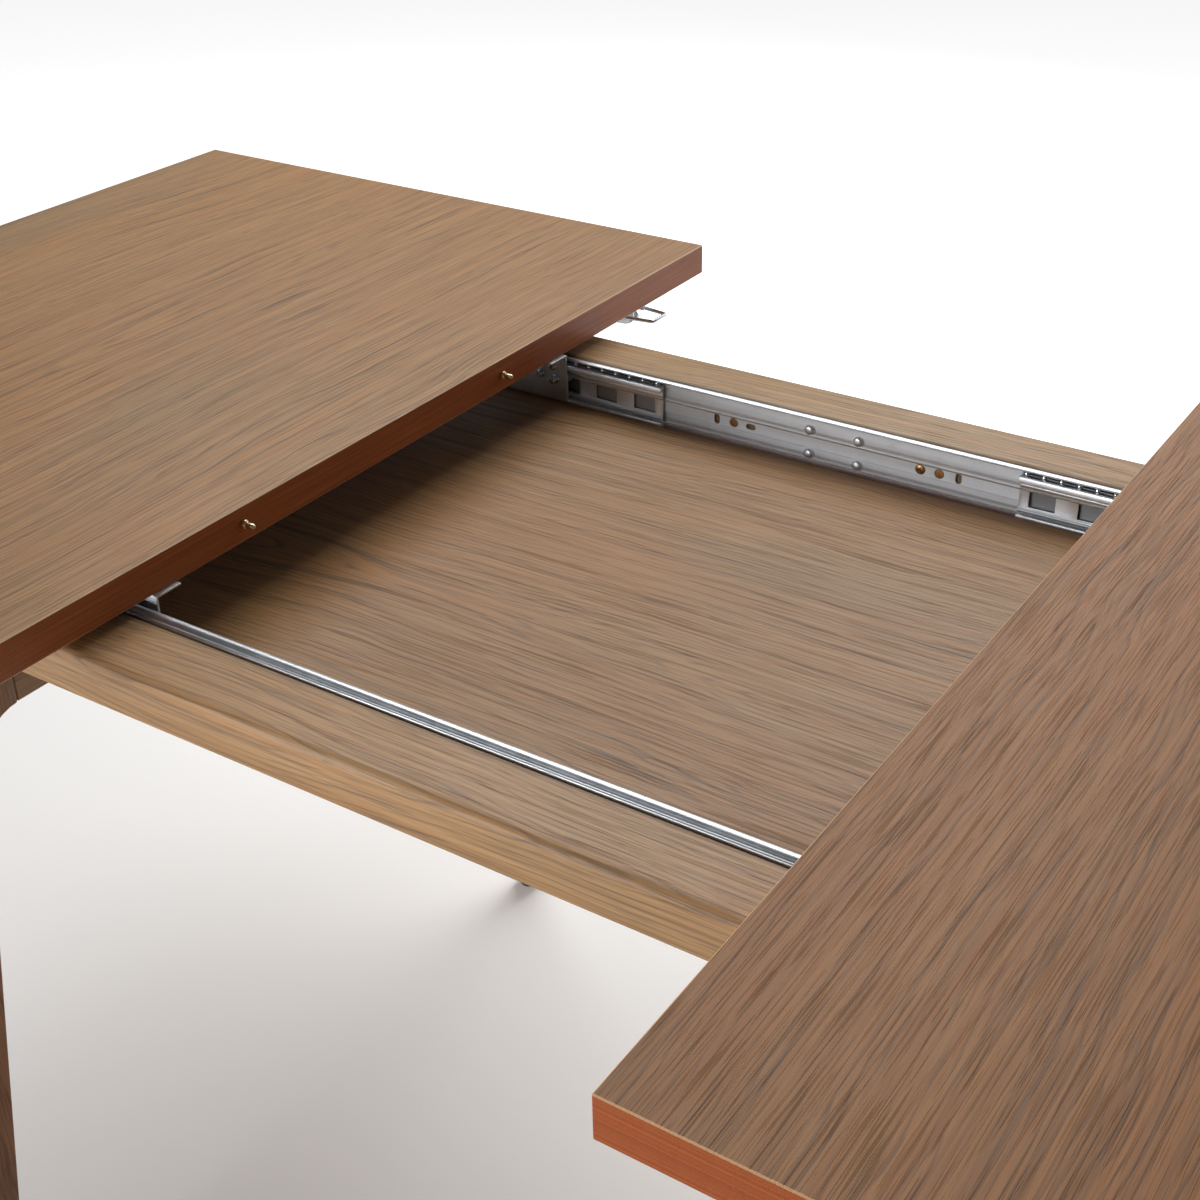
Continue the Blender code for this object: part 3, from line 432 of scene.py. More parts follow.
def soften(node, width, finish, segments=2, angle=35.0, smooth=40.0):
    """Replace a CAD node by itself with its edges rounded, inside its own outline."""
    bm = merged(node)
    mesh = bpy.data.meshes.new(node)
    bm.to_mesh(mesh)
    bm.free()
    item = bpy.data.objects.new(node + "_work", mesh)
    bpy.context.scene.collection.objects.link(item)
    rounding = item.modifiers.new("Rounded edges", "BEVEL")
    rounding.width, rounding.segments = width, segments
    rounding.limit_method, rounding.angle_limit = "ANGLE", radians(angle)
    rounding.harden_normals = False
    made = shade(baked(item), smooth)
    return piece(made, node + "_shaped", body_of(node), slot_of(node), finish, (node,))


def dress(node, finish):
    """Keep a CAD node and give it its finish."""
    mesh = frame["nodes"][node].data
    mesh.materials.clear()
    mesh.materials.append(finish)


def lathe(profile, centre, axis, sides=32, hollow=False):
    """Turned solid about axis: profile lists (distance along, radius).

    The ends are closed by flat faces, or a hollow profile runs back to its own start.
    """
    bm = bmesh.new()
    turn = Vector(axis).to_track_quat("Z", "Y").to_matrix()
    rings = []
    for along, radius in profile:
        ring = [bm.verts.new(Vector(centre) + turn @ Vector((radius * cos(step), radius * sin(step), along)))
                for step in (2 * pi * side / sides for side in range(sides))]
        rings.append(ring)
    following = rings[1:] + rings[:1] if hollow else rings[1:]
    for first, second in zip(rings, following):
        for side in range(sides):
            bm.faces.new((first[side - 1], first[side], second[side], second[side - 1]))
    if not hollow:
        bm.faces.new(list(reversed(rings[0])))
        bm.faces.new(rings[-1])
    bmesh.ops.recalc_face_normals(bm, faces=bm.faces)
    return bm


def stored(bm, name, smooth=35.0):
    mesh = bpy.data.meshes.new(name)
    bm.to_mesh(mesh)
    bm.free()
    return shade(mesh, smooth)


def gathered(parts):
    """Several closed shapes in one mesh."""
    whole = bmesh.new()
    for part in parts:
        spare = bpy.data.meshes.new("spare")
        part.to_mesh(spare)
        part.free()
        whole.from_mesh(spare)
        bpy.data.meshes.remove(spare)
    return whole


def bow(start, end, count):
    """Evenly spaced numbers from start to end, both included."""
    return [start + (end - start) * step / (count - 1) for step in range(count)]


# ---- geometry node trees ----------------------------------------------------------------------------
class Grower(Tree):
    """A Geometry Nodes tree with named inputs that ends in Realize Instances and Set Material."""

    def __init__(self, name, inputs):
        group = bpy.data.node_groups.new(name, "GeometryNodeTree")
        super().__init__(group)
        group.interface.new_socket("Geometry", in_out="INPUT", socket_type="NodeSocketGeometry")
        for label, kind, value in inputs:
            made = group.interface.new_socket(label, in_out="INPUT", socket_type="NodeSocket" + kind)
            if value is not None:
                made.default_value = value
        group.interface.new_socket("Material", in_out="INPUT", socket_type="NodeSocketMaterial")
        group.interface.new_socket("Geometry", in_out="OUTPUT", socket_type="NodeSocketGeometry")
        self.start = group.nodes.new("NodeGroupInput")
        self.end = group.nodes.new("NodeGroupOutput")

    def given(self, label):
        return Term(self, self.start.outputs[label])

    def close(self, geometry):
        whole = self.node("GeometryNodeRealizeInstances", inputs={0: geometry})
        shown = self.node("GeometryNodeSetMaterial", inputs={"Geometry": whole,
                                                             "Material": self.given("Material")})
        self.tree.links.new(shown.socket, self.end.inputs[0])
        return self.tree


def grown(tree, data, name, body, slot, finish, values, stands_for=(), smooth=35.0):
    """Run a tree once on an object that holds data, and keep the plain mesh it makes."""
    seedling = bpy.data.objects.new(name + "_seed", data)
    bpy.context.scene.collection.objects.link(seedling)
    grower = seedling.modifiers.new("Grow", "NODES")
    grower.node_group = tree
    names = {item.name: item.identifier for item in tree.interface.items_tree if item.in_out == "INPUT"}
    for label, value in values.items():
        grower[names[label]] = value
    grower[names["Material"]] = finish
    mesh = shade(baked(seedling), smooth)
    return piece(mesh, name, body, slot, finish, stands_for)


def dots(name, spots):
    mesh = bpy.data.meshes.new(name)
    mesh.from_pydata([tuple(spot) for spot in spots], [], [])
    return mesh


def ball_tree():
    """A ball at each point."""
    tree = Grower("Ball row", [("Radius", "Float", 0.002)])
    ball = tree.node("GeometryNodeMeshIcoSphere", inputs={"Radius": tree.given("Radius"),
                                                           "Subdivisions": 3})
    row = tree.node("GeometryNodeInstanceOnPoints", inputs={"Points": tree.given("Geometry"),
                                                            "Instance": ball})
    return tree.close(row)


def pocket_tree():
    """A rolled collar at each point, as a ball cage has round each ball."""
    tree = Grower("Ball pockets", [("Radius", "Float", 0.002), ("Wire", "Float", 0.0003)])
    ring = tree.node("GeometryNodeCurvePrimitiveCircle", inputs={"Resolution": 18,
                                                                 "Radius": tree.given("Radius")})
    wire = tree.node("GeometryNodeCurvePrimitiveCircle", inputs={"Resolution": 6,
                                                                 "Radius": tree.given("Wire")})
    collar = tree.node("GeometryNodeCurveToMesh", inputs={"Curve": ring, "Profile Curve": wire})
    row = tree.node("GeometryNodeInstanceOnPoints", inputs={"Points": tree.given("Geometry"),
                                                            "Instance": collar})
    return tree.close(row)


def screw_tree():
    """A domed screw head with a cross recess at each point, each turned its own way."""
    tree = Grower("Screw heads", [("Radius", "Float", 0.004), ("Height", "Float", 0.0016),
                                  ("Facing", "Vector", (0.0, 0.0, 0.0)), ("Seed", "Int", 1)])
    radius, height = tree.given("Radius"), tree.given("Height")
    dome = tree.node("GeometryNodeMeshUVSphere", inputs={"Segments": 24, "Rings": 12, "Radius": 1.0})
    scale = tree.node("ShaderNodeCombineXYZ", inputs={0: radius, 1: radius, 2: height})
    dome = tree.node("GeometryNodeTransform", inputs={"Geometry": dome, "Scale": scale})
    block = tree.node("GeometryNodeMeshCube", inputs={"Size": (2.0, 2.0, 1.0)})
    drop = tree.node("ShaderNodeCombineXYZ", inputs={0: 0.0, 1: 0.0, 2: height * -0.5})
    wide = tree.node("ShaderNodeCombineXYZ", inputs={0: radius * 2.0, 1: radius * 2.0, 2: height})
    block = tree.node("GeometryNodeTransform", inputs={"Geometry": block, "Scale": wide,
                                                       "Translation": drop})
    arm = tree.node("ShaderNodeCombineXYZ", inputs={0: radius * 0.62, 1: radius * 0.12, 2: height})
    cross = tree.node("ShaderNodeCombineXYZ", inputs={0: radius * 0.12, 1: radius * 0.62, 2: height})
    rise = tree.node("ShaderNodeCombineXYZ", inputs={0: 0.0, 1: 0.0, 2: height * 0.90})
    cutters = [block]
    for size in (arm, cross):
        cube = tree.node("GeometryNodeMeshCube", inputs={"Size": (2.0, 2.0, 1.0)})
        cutters.append(tree.node("GeometryNodeTransform",
                                 inputs={"Geometry": cube, "Scale": size, "Translation": rise}))
    head = dome
    for cutter in cutters:
        head = tree.node("GeometryNodeMeshBoolean", {"operation": "DIFFERENCE"},
                         {"Mesh 1": head, "Mesh 2": cutter})
    spin = tree.node("FunctionNodeRandomValue", {"data_type": "FLOAT"},
                     {2: 0.0, 3: 2 * pi, "Seed": tree.given("Seed")}, output=1)
    row = tree.node("GeometryNodeInstanceOnPoints", inputs={"Points": tree.given("Geometry"),
                                                            "Instance": head,
                                                            "Rotation": tree.given("Facing")})
    twist = tree.node("ShaderNodeCombineXYZ", inputs={0: 0.0, 1: 0.0, 2: spin})
    row = tree.node("GeometryNodeRotateInstances", inputs={"Instances": row, "Rotation": twist,
                                                           "Local Space": True})
    return tree.close(row)


def rope_tree():
    """Wire rope: a lobed outline that turns as it follows the curve."""
    tree = Grower("Wire rope", [("Radius", "Float", 0.0007), ("Lay", "Float", 0.005),
                                ("Step", "Float", 0.0009), ("Strands", "Int", 6)])
    path = tree.node("GeometryNodeResampleCurve", {"mode": "LENGTH"},
                     {"Curve": tree.given("Geometry"), "Length": tree.given("Step")})
    length = tree.node("GeometryNodeSplineParameter", output="Length")
    path = tree.node("GeometryNodeSetCurveTilt", inputs={"Curve": path,
                                                         "Tilt": length / tree.given("Lay") * (2 * pi)})
    ring = tree.node("GeometryNodeCurvePrimitiveCircle", inputs={"Resolution": 24, "Radius": 1.0})
    spot = tree.node("GeometryNodeInputPosition")
    split = tree.node("ShaderNodeSeparateXYZ", inputs={0: spot})
    angle = tree.node("ShaderNodeMath", {"operation": "ARCTAN2"},
                      {0: tree.part(split, 1), 1: tree.part(split, 0)})
    wave = tree.node("ShaderNodeMath", {"operation": "COSINE"}, {0: angle * tree.given("Strands")})
    reach = tree.given("Radius") * (0.86 + wave * 0.14)
    place = tree.node("ShaderNodeVectorMath", {"operation": "SCALE"}, {0: spot, "Scale": reach})
    ring = tree.node("GeometryNodeSetPosition", inputs={"Geometry": ring, "Position": place})
    rope = tree.node("GeometryNodeCurveToMesh", inputs={"Curve": path, "Profile Curve": ring})
    return tree.close(rope)


TREES = {}                   # by name, once grown


def tree_for(name):
    """A geometry node tree, made the first time that it is asked for."""
    if name not in TREES:
        TREES[name] = {"ball": ball_tree, "pocket": pocket_tree, "screw": screw_tree,
                       "rope": rope_tree}[name]()
    return TREES[name]


# ---- sizes and colours a user would change ----------------------------------------------------------
def colour_setting(name, description, default):
    return bpy.props.FloatVectorProperty(name=name, description=description, default=default, size=3,
                                         min=0.0, max=1.0, subtype="COLOR")


def length_setting(name, description, default):
    return bpy.props.FloatProperty(name=name, description=description, default=default, min=0.0,
                                   subtype="DISTANCE", unit="LENGTH", precision=5)


def power_setting(name, description, default):
    return bpy.props.FloatProperty(name=name, description=description, default=default, min=0.0,
                                   subtype="POWER", unit="POWER")


class WoodSettings(bpy.types.PropertyGroup):
    """Colours and figure of the stained oak."""

    light: colour_setting("Light", "Pale wood between the pores", (0.365, 0.207, 0.092))
    middle: colour_setting("Middle", "Body colour of the stained wood", (0.282, 0.155, 0.067))
    warm: colour_setting("Warm", "Where the stain runs warm", (0.360, 0.172, 0.064))
    grey: colour_setting("Grey", "Where the stain runs grey", (0.245, 0.172, 0.098))
    # ring also colours the painted shade on the rails' inner rounded edges.
    ring: colour_setting("Ring", "Dark side of each growth ring", (0.120, 0.074, 0.044))
    pore: colour_setting("Pore", "Stain held in the open pores", (0.085, 0.056, 0.040))
    edge: colour_setting("Edge", "Lipping on the boards' edges", (0.400, 0.118, 0.030))
    edge_dark: colour_setting("Edge dark", "Dark grain of the lipping", (0.265, 0.072, 0.018))
    # Arris colour: partly rubbed wear, partly a painted highlight along the boards' edges.
    arris: colour_setting("Arris", "Rubbed line along the boards' edges", (0.780, 0.600, 0.440))
    ring_spacing: length_setting("Ring spacing", "Between one dark growth ring and the next", 0.0165)
    thread_spacing: length_setting("Thread spacing", "Between one row of open pores and the next", 0.0042)


class MetalSettings(bpy.types.PropertyGroup):
    """Colours of the fittings and the sizes of the small ones."""

    zinc: colour_setting("Zinc", "Zinc plated steel", (0.740, 0.785, 0.840))
    cage: colour_setting("Cage", "Ball cage strip", (0.300, 0.315, 0.335))
    bright: colour_setting("Bright", "Nickel plated wire and pressings", (0.560, 0.590, 0.630))
    cable: colour_setting("Cable", "Twisted steel wire", (0.450, 0.430, 0.400))
    brass: colour_setting("Brass", "Locating pins", (0.780, 0.640, 0.400))
    yellow: colour_setting("Yellow zinc", "Screws in the channels", (0.430, 0.250, 0.125))
    ball_pitch: length_setting("Ball pitch", "Between one ball and the next in a cage", 0.0130)
    ball_radius: length_setting("Ball radius", "Radius of the slides' balls", 0.0024)
    rope_lay: length_setting("Rope lay", "Length in which the cable's strands turn once", 0.0060)


class StageSettings(bpy.types.PropertyGroup):
    """Floor and light."""

    floor: colour_setting("Floor", "Pale studio floor", (0.860, 0.860, 0.860))
    key_power: power_setting("Key power", "Power of the large light above the table", 74.0)
    fill_power: power_setting("Fill power", "Power of the light in front of the table", 88.0)
    rim_power: power_setting("Rim power", "Power of the light behind the table", 30.0)
    air: bpy.props.FloatProperty(name="Surround", description="Strength of the white surround",
                                 default=0.06, min=0.0)


# ---- operators --------------------------------------------------------------------------------------
class TableOperator:
    """What every operator of the table shares: it runs its make method once."""

    bl_options = {"REGISTER", "UNDO"}

    def execute(self, context):
        self.make(context.scene)
        return {"FINISHED"}


class TABLE_OT_boards(TableOperator, bpy.types.Operator):
    """Finish the half tops and the stored leaf, and line their sockets"""

    bl_idname = "table.boards"
    bl_label = "Half tops and leaf"

    def make(self, scene):
        skins = finishes()
        dress("top_left", skins["top_left"])
        dress("top_right", skins["top_right"])
        dress("extension_leaf", skins["leaf"])
        pin_z = middle("locating_pin_back").z
        for face, sign in FACES.items():
            centre = (EDGE_X, sign * abs(middle("locating_pin_back").y), pin_z)
            liner = self.liner(centre, (1, 0, 0))
            piece(liner, "socket_liner_" + face, "right_half_top", "pale_brass", skins["brass"])
        leaf_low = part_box("extension_leaf")[0]
        for side in SIDES:
            spot = middle("leaf_pin_" + side)
            liner = self.liner((spot.x, leaf_low.y, spot.z), (0, 1, 0))
            piece(liner, "leaf_socket_liner_" + side, "stored_leaf", "pale_brass", skins["brass"])

    def liner(self, centre, axis):
        """Thin brass bush pressed into a pin socket."""
        outer, bore, mouth, depth = 0.00335, 0.00318, 0.0002, 0.0130
        profile = [(mouth, bore), (mouth, outer), (depth, outer), (depth, bore)]
        return stored(lathe(profile, centre, axis, hollow=True), "liner")


class TABLE_OT_frame_wood(TableOperator, bpy.types.Operator):
    """Shape and finish the rails, cross aprons and legs"""

    bl_idname = "table.frame_wood"
    bl_label = "Rails, aprons and legs"

    def make(self, scene):
        skins = finishes()
        soften("rail_back", 0.0006, skins["rail"], angle=60.0)
        soften("rail_front", 0.0006, skins["rail_front"], angle=60.0)
        for side in SIDES:
            dress("cross_apron_" + side, skins["apron"])
        for face, side in PLACES:
            soften("leg_{}_{}".format(face, side), 0.0005, skins["leg"], angle=60.0, smooth=50.0)
            soften("foot_glide_{}_{}".format(face, side), 0.0003, skins["nylon"])


class TABLE_OT_channels(TableOperator, bpy.types.Operator):
    """Shape and finish the fixed channels of the slides and their screws"""

    bl_idname = "table.channels"
    bl_label = "Channels"

    def make(self, scene):
        skins = finishes()
        for face, sign in FACES.items():
            soften("channel_" + face, 0.00035, skins["channel"], angle=50.0)
            for side in SIDES:
                self.screw("channel_screw_{}_{}".format(face, side), sign, skins["yellow"])
            self.big_screw(face, sign, skins["yellow"])

    def screw(self, node, sign, finish):
        """Countersunk screw through the channel: shank, cone and a recessed flat head."""
        low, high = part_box(node)
        spot = (low + high) / 2
        head = min(abs(low.y), abs(high.y))
        length = max(abs(low.y), abs(high.y)) - head
        radius, shank, point = (high.z - low.z) / 2, 0.0019, 0.0006
        profile = [(0.0, radius * 0.55), (0.0001, radius * 0.90), (0.0004, radius), (0.0010, radius),
                   (0.0014, shank), (length - 0.0020, shank), (length, point)]
        bm = lathe(profile, (spot.x, sign * head, spot.z), (0, sign, 0))
        mesh = recessed(stored(bm, node), (spot.x, sign * head, spot.z), radius)
        piece(mesh, node + "_shaped", "base", slot_of(node), finish, (node,))

    def big_screw(self, face, sign, finish):
        """Pan-head screw over each right-hand level slot."""
        spots = [Vector((LEVEL_SLOT_X, sign * (RAIL_FACE - 0.0021), SLIDE_Z))]
        facing = (sign * pi / 2, 0.0, 0.0)
        grown(tree_for("screw"), dots("spots", spots), "channel_pan_screw_" + face, "base", "yellow_zinc",
              finish, {"Radius": 0.0041, "Height": 0.0012, "Facing": facing, "Seed": 4})


def recessed(mesh, centre, radius):
    """Cut a cross recess into a screw's head."""
    item = bpy.data.objects.new("recess_work", mesh)
    bpy.context.scene.collection.objects.link(item)
    long, short, deep = radius * 0.60, radius * 0.11, 0.0007
    for wide, tall in ((long, short), (short, long)):
        bm = bmesh.new()
        bmesh.ops.create_cube(bm, size=2.0)
        for vertex in bm.verts:
            vertex.co = Vector(centre) + Vector((vertex.co.x * wide, vertex.co.y * deep, vertex.co.z * tall))
        arm = bpy.data.objects.new("recess_arm", bpy.data.meshes.new("recess_arm"))
        bm.to_mesh(arm.data)
        bm.free()
        bpy.context.scene.collection.objects.link(arm)
        cut = item.modifiers.new("Recess", "BOOLEAN")
        cut.operation, cut.solver, cut.object = "DIFFERENCE", "EXACT", arm
        fresh = bpy.data.meshes.new_from_object(item.evaluated_get(bpy.context.evaluated_depsgraph_get()))
        item.modifiers.clear()
        item.data = fresh
        bpy.data.objects.remove(arm)
    mesh = item.data
    bpy.data.objects.remove(item)
    return shade(mesh, 30.0)


class TABLE_OT_members(TableOperator, bpy.types.Operator):
    """Shape the middle and inner members and their brackets, and bolt the brackets on"""

    bl_idname = "table.members"
    bl_label = "Members and brackets"

    def make(self, scene):
        skins = finishes()
        for face, side in PLACES:
            where = "{}_{}".format(face, side)
            soften("middle_member_" + where, 0.00025, skins["zinc"], angle=50.0)
            soften("inner_member_" + where, 0.00025, skins["zinc"], angle=50.0)
            soften("top_bracket_" + where, 0.0003, skins["zinc"], angle=50.0)
            self.bolts(face, side, skins)
            self.bracket_screws(face, side, skins["zinc"])

    def bolts(self, face, side, skins):
        """The fixings that join each bracket to its inner member near the gap edge."""
        low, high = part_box("top_bracket_{}_{}".format(face, side))
        sign, way = FACES[face], SIDES[side]
        end = min(abs(low.x), abs(high.x))
        plate = max(abs(low.y), abs(high.y)) - BRACKET_SHEET
        parts = []
        for inward, level, radius, length in BRACKET_FIXINGS:
            centre = (way * (end + inward), sign * (plate + 0.0006), SLIDE_Z + level)
            profile = [(0.0, radius * 0.80), (0.0008, radius * 0.80), (0.0008, radius * 1.30),
                       (0.0022, radius * 1.30), (0.0026, radius * 1.12), (0.0026, radius * 0.92),
                       (length - 0.0006, radius * 0.92), (length, radius * 0.70)]
            parts.append(lathe(profile, centre, (0, -sign, 0), 24))
        mesh = stored(gathered(parts), "bolts")
        piece(mesh, "bracket_bolts_{}_{}".format(face, side), side + "_half_top", "bright_steel",
              skins["bright"])

    def bracket_screws(self, face, side, finish):
        low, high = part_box("top_bracket_{}_{}".format(face, side))
        sign, way = FACES[face], SIDES[side]
        inner = min(abs(low.y), abs(high.y)) + 0.0100
        start, reach = min(abs(low.x), abs(high.x)), high.x - low.x
        spots = [Vector((way * (start + reach * share), sign * inner, high.z - 0.0016))
                 for share in (0.08, 0.36, 0.64, 0.92)]
        grown(tree_for("screw"), dots("spots", spots), "bracket_screws_{}_{}".format(face, side),
              side + "_half_top", "zinc_plated_steel", finish,
              {"Radius": 0.0040, "Height": 0.0016, "Facing": (pi, 0.0, 0.0), "Seed": 7})


class TABLE_OT_balls(TableOperator, bpy.types.Operator):
    """Fill the ball cages with balls"""

    bl_idname = "table.balls"
    bl_label = "Balls and cages"

    def make(self, scene):
        skins, metal = finishes(), scene.table_metal
        for face, side in PLACES:
            where = "{}_{}".format(face, side)
            node = "ball_cage_" + where
            soften(node, 0.0002, skins["cage"], angle=50.0)
            low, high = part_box(node)
            sign, way = FACES[face], SIDES[side]
            start = min(abs(low.x), abs(high.x))
            rise = (high.z - low.z) / 2 - 0.0003
            count = int((high.x - low.x - 0.004) / metal.ball_pitch) + 1
            spots = [Vector((way * (start + 0.003 + metal.ball_pitch * number),
                             sign * (RAIL_FACE - BALL_DEPTH), SLIDE_Z + level * rise))
                     for number in range(count) for level in (-1, 1)]
            grown(tree_for("ball"), dots("spots", spots), "balls_" + where, body_of(node), "bright_steel",
                  skins["ball"], {"Radius": metal.ball_radius})
            grown(tree_for("pocket"), dots("spots", spots), "ball_pockets_" + where, body_of(node),
                  "cage_steel", skins["cage"], {"Radius": metal.ball_radius, "Wire": 0.0004})


class TABLE_OT_cables(TableOperator, bpy.types.Operator):
    """Lay up the sync cables as twisted wire, and finish the pulleys"""

    bl_idname = "table.cables"
    bl_label = "Sync cables and pulleys"

    def make(self, scene):
        skins, metal = finishes(), scene.table_metal
        for face in FACES:
            node = "sync_cable_" + face
            low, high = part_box(node)
            radius = (high.y - low.y) / 2
            wrap = (high.z - low.z) / 2 - radius
            reach = (high.x - low.x) / 2 - radius - wrap
            route = [(way * (reach + wrap * cos(turn)), wrap * sin(turn) * way)
                     for way in (1, -1) for turn in bow(-pi / 2, pi / 2, 25)]
            curve = bpy.data.curves.new(node, "CURVE")
            curve.dimensions = "3D"
            line = curve.splines.new("POLY")
            line.points.add(len(route) - 1)
            for point, (x, z) in zip(line.points, route):
                point.co = (x, (low.y + high.y) / 2, (low.z + high.z) / 2 + z, 1.0)
            line.use_cyclic_u = True
            whole = 4 * reach + 2 * pi * wrap
            lay = whole / ceil(whole / metal.rope_lay)
            grown(tree_for("rope"), curve, "sync_rope_" + face, "base", "cable_steel", skins["cable"],
                  {"Radius": radius, "Lay": lay, "Step": 0.0011}, (node,), 80.0)
            for side in SIDES:
                pulley = "pulley_{}_{}".format(face, side)
                soften(pulley, 0.0002, skins["nylon"], angle=40.0, smooth=35.0)


class TABLE_OT_pins(TableOperator, bpy.types.Operator):
    """Turn the brass locating pins with their collars and bullet noses"""

    bl_idname = "table.pins"
    bl_label = "Locating pins"

    def make(self, scene):
        finish = finishes()["brass"]
        for face in FACES:
            node = "locating_pin_" + face
            low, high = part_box(node)
            self.pin(node, Vector((-EDGE_X, (low.y + high.y) / 2, (low.z + high.z) / 2)), (1, 0, 0),
                     high.x + EDGE_X, -EDGE_X - low.x, finish)
        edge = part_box("extension_leaf")[1].y
        for side in SIDES:
            node = "leaf_pin_" + side
            low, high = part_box(node)
            self.pin(node, Vector(((low.x + high.x) / 2, edge, (low.z + high.z) / 2)), (0, 1, 0),
                     high.y - edge, edge - low.y, finish)

    def pin(self, node, centre, axis, reach, buried, finish):
        low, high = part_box(node)
        collar, shaft = (high.z - low.z) / 2, 0.0021
        profile = [(-buried, shaft * 0.9), (0.0, shaft), (0.0001, collar * 0.94), (0.0003, collar),
                   (0.0022, collar), (0.0026, collar * 0.93), (0.0028, shaft * 1.12),
                   (0.0034, shaft * 0.86), (0.0042, shaft * 0.86), (0.0048, shaft * 1.02)]
        profile += [(reach - shaft * 1.5 * (1 - sin(turn)), shaft * 1.04 * cos(turn))
                    for turn in bow(radians(15), radians(84), 8)]
        piece(stored(lathe(profile, centre, axis, 36), node, 28.0), node + "_turned", body_of(node),
              slot_of(node), finish, (node,))


class TABLE_OT_latches(TableOperator, bpy.types.Operator):
    """Shape the draw latch and its keeper and screw them on"""

    bl_idname = "table.latches"
    bl_label = "Draw latch"

    def make(self, scene):
        skins = finishes()
        soften("latch_base_back", 0.0003, skins["zinc"], angle=50.0)
        soften("latch_lever_back", 0.0006, skins["bright"], 3, angle=30.0, smooth=50.0)
        soften("latch_pin_back", 0.0003, skins["bright"], angle=50.0)
        soften("keeper_back", 0.0003, skins["zinc"], angle=40.0, smooth=45.0)
        self.bail(skins["bright"])
        self.screws("latch_base_back", 1, "latch_screws", "left_half_top", skins["bright"])
        self.screws("keeper_back", -1, "keeper_screws", "right_half_top", skins["bright"])

    def bail(self, finish):
        """Level wire bail, wider at its eyes than at its tip, with round bends and a round wire."""
        node = "latch_bail_back"
        low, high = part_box(node)
        centre = (low + high) / 2
        wire = (high.z - low.z) / 2
        foot, tip, bend = (high.y - low.y) / 2 - wire, 0.0110, 0.0035
        eye, reach = low.x + wire, high.x - low.x - 2 * wire
        turned = wire * 1.2
        side = [Vector((0.0, 0.0060)), Vector((0.0, foot - turned))]
        side += [Vector((turned - turned * cos(turn), foot - turned + turned * sin(turn)))
                 for turn in bow(radians(15), radians(90), 5)]
        side += [Vector((reach - bend + bend * sin(turn), tip - bend + bend * cos(turn)))
                 for turn in bow(0.0, radians(90), 7)]
        route = side + [Vector((spot.x, -spot.y)) for spot in reversed(side)]
        curve = bpy.data.curves.new(node, "CURVE")
        curve.dimensions, curve.bevel_depth, curve.bevel_resolution = "3D", wire, 5
        curve.use_fill_caps = True
        line = curve.splines.new("POLY")
        line.points.add(len(route) - 1)
        for point, spot in zip(line.points, route):
            point.co = (eye + spot.x, centre.y + spot.y, centre.z, 1.0)
        item = bpy.data.objects.new(node + "_work", curve)
        bpy.context.scene.collection.objects.link(item)
        piece(shade(baked(item), 40.0), node + "_bent", body_of(node), slot_of(node), finish, (node,))

    def screws(self, node, way, name, body, finish):
        """Two screws through a plate, counted from its low X end (way 1) or its high end (-1)."""
        low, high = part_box(node)
        start = low.x if way > 0 else high.x
        spots = [Vector((start + way * inward, (low.y + high.y) / 2, high.z - 0.0016))
                 for inward in (0.0050, 0.0155)]
        grown(tree_for("screw"), dots("spots", spots), name, body, "bright_steel", finish,
              {"Radius": 0.0028, "Height": 0.0014, "Facing": (pi, 0.0, 0.0), "Seed": 3})


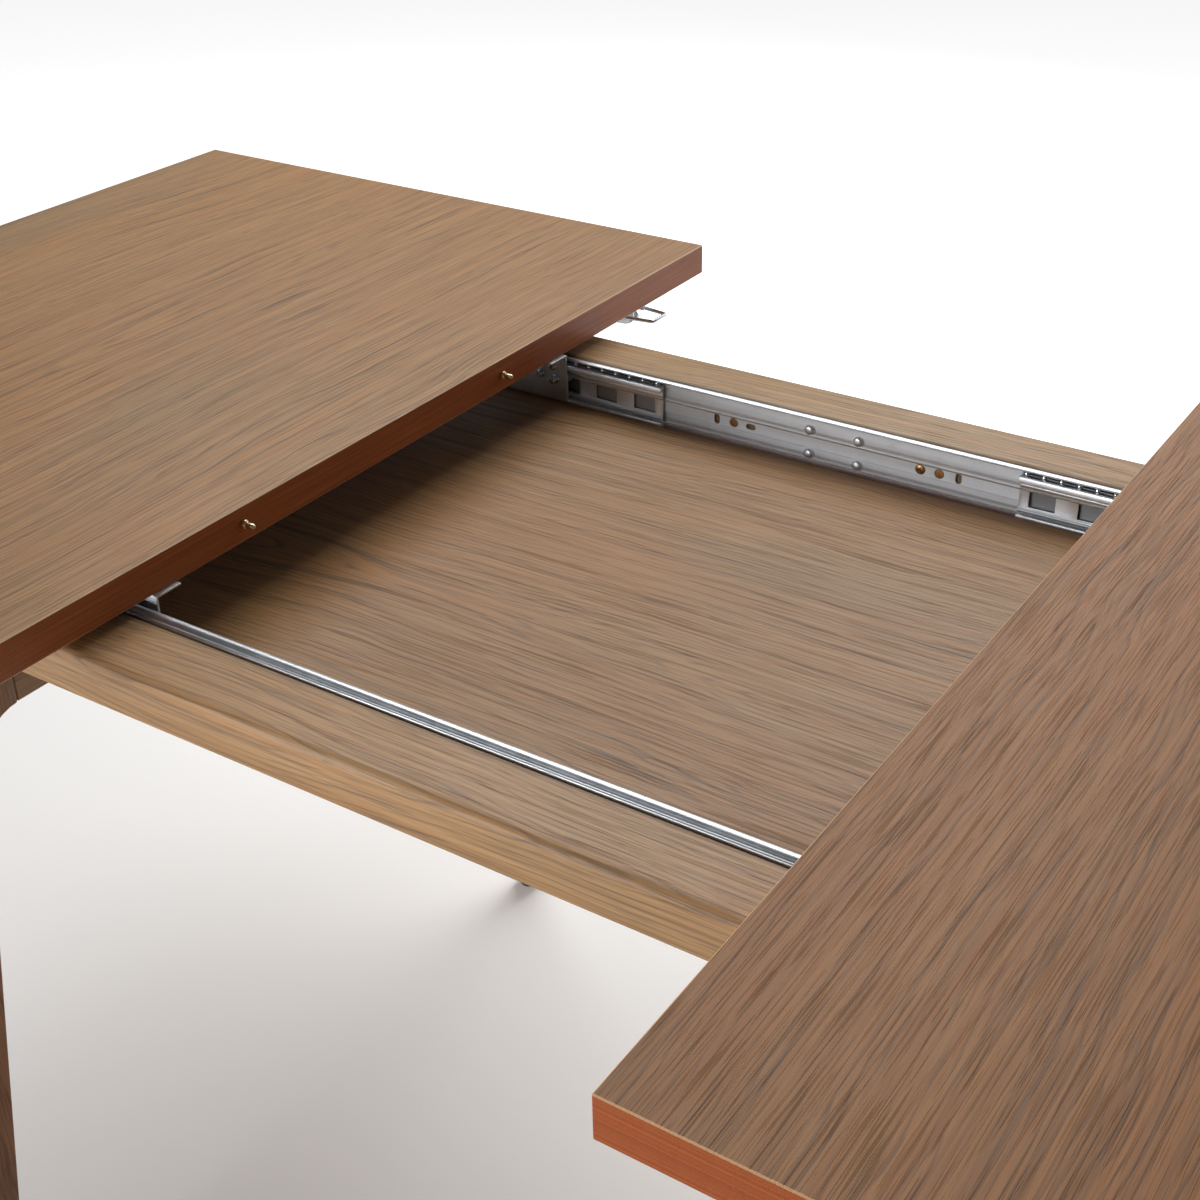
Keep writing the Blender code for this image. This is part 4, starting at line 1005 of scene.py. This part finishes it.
class TABLE_OT_stage(TableOperator, bpy.types.Operator):
    """Lay the floor, hang the lights and set up the camera"""

    bl_idname = "table.stage"
    bl_label = "Stage"

    def make(self, scene):
        choice = scene.table_stage
        self.floor(choice)
        self.lights(choice)
        self.camera(scene)

    def floor(self, choice):
        bm = bmesh.new()
        bmesh.ops.create_grid(bm, x_segments=8, y_segments=8, size=9.0)
        mesh = bpy.data.meshes.new("studio_floor")
        bm.to_mesh(mesh)
        bm.free()
        ground = bpy.data.objects.new("studio_floor", mesh)
        bpy.context.scene.collection.objects.link(ground)
        mesh.materials.append(pale_floor("pale_floor", tuple(choice.floor)))

    def lights(self, choice):
        lamps = [("key", choice.key_power, (-0.9, 1.5, 2.9), (0.0, 0.1, 0.7), 2.4, 2.0, (1.0, 0.99, 0.97)),
                 ("fill", choice.fill_power, (-1.5, -2.9, 1.0), (0.0, 0.0, 0.7), 2.4, 1.2, (1.0, 1.0, 1.0)),
                 ("rim", choice.rim_power, (0.2, 3.4, 1.9), (0.0, 0.3, 0.7), 3.4, 1.6, (1.0, 1.0, 1.0))]
        for name, power, place, aim, wide, tall, colour in lamps:
            lamp = bpy.data.lights.new("studio_" + name, "AREA")
            lamp.shape, lamp.size, lamp.size_y = "RECTANGLE", wide, tall
            lamp.energy, lamp.color = power, colour
            holder = bpy.data.objects.new("studio_" + name, lamp)
            holder.location = place
            holder.rotation_euler = (Vector(aim) - Vector(place)).to_track_quat("-Z", "Y").to_euler()
            bpy.context.scene.collection.objects.link(holder)
        world = bpy.data.worlds.new("studio")
        world.use_nodes = True
        bpy.context.scene.world = world
        sky = Tree(world.node_tree)
        air = sky.node("ShaderNodeBackground", inputs={"Color": (1.0, 1.0, 1.0, 1.0),
                                                       "Strength": choice.air})
        backdrop = sky.node("ShaderNodeBackground", inputs={"Color": (1.0, 1.0, 1.0, 1.0),
                                                            "Strength": 1.05})
        seen = sky.node("ShaderNodeLightPath", output="Is Camera Ray")
        both = sky.node("ShaderNodeMixShader", inputs={0: seen, 1: air, 2: backdrop})
        sky.tree.links.new(both.socket, sky.tree.nodes["World Output"].inputs["Surface"])

    def camera(self, scene):
        """Camera above the front right corner, looking down across the gap to the far left."""
        scene.view_settings.view_transform = "Standard"
        lens = bpy.data.cameras.new("camera")
        lens.lens, lens.sensor_width = 53.0, 36.0
        lens.clip_start, lens.clip_end = 0.01, 60.0
        eye = bpy.data.objects.new("camera", lens)
        right = Vector((0.83405, 0.55137, -0.01876))
        up = Vector((-0.26608, 0.43183, 0.86181))
        back = right.cross(up)
        turn = Matrix((right, up, back)).transposed().to_4x4()
        turn.translation = Vector((0.5330, -0.8684, SURFACE + 0.5300))
        eye.matrix_world = turn
        bpy.context.scene.collection.objects.link(eye)
        scene.camera = eye


class TABLE_PT_sidebar(bpy.types.Panel):
    """Lists the table's steps in the order they are made"""

    bl_label = "Extending Dining Table"
    bl_idname = "TABLE_PT_sidebar"
    bl_space_type = "VIEW_3D"
    bl_region_type = "UI"
    bl_category = "Table"

    def draw(self, context):
        for step in STEPS:
            self.layout.operator(step.bl_idname)
        for group in ("table_wood", "table_metal", "table_stage"):
            box = self.layout.box()
            holder = getattr(context.scene, group)
            for name in holder.__annotations__:
                box.prop(holder, name)


STEPS = (TABLE_OT_stage, TABLE_OT_boards, TABLE_OT_frame_wood, TABLE_OT_channels, TABLE_OT_members,
         TABLE_OT_balls, TABLE_OT_cables, TABLE_OT_pins, TABLE_OT_latches)
GROUPS = {"table_wood": WoodSettings, "table_metal": MetalSettings, "table_stage": StageSettings}
CLASSES = (*GROUPS.values(), *STEPS, TABLE_PT_sidebar)


def register():
    for entry in CLASSES:
        bpy.utils.register_class(entry)
    for name, group in GROUPS.items():
        setattr(bpy.types.Scene, name, bpy.props.PointerProperty(type=group))


def unregister():
    for name in GROUPS:
        delattr(bpy.types.Scene, name)
    for entry in reversed(CLASSES):
        bpy.utils.unregister_class(entry)


def main():
    register()
    for item in list(bpy.data.objects):
        if item.type in {"LIGHT", "CAMERA"} or item.name == "Cube":
            bpy.data.objects.remove(item)
    for step in STEPS:
        family, action = step.bl_idname.split(".")
        getattr(getattr(bpy.ops, family), action)()


if __name__ == "__main__":
    main()
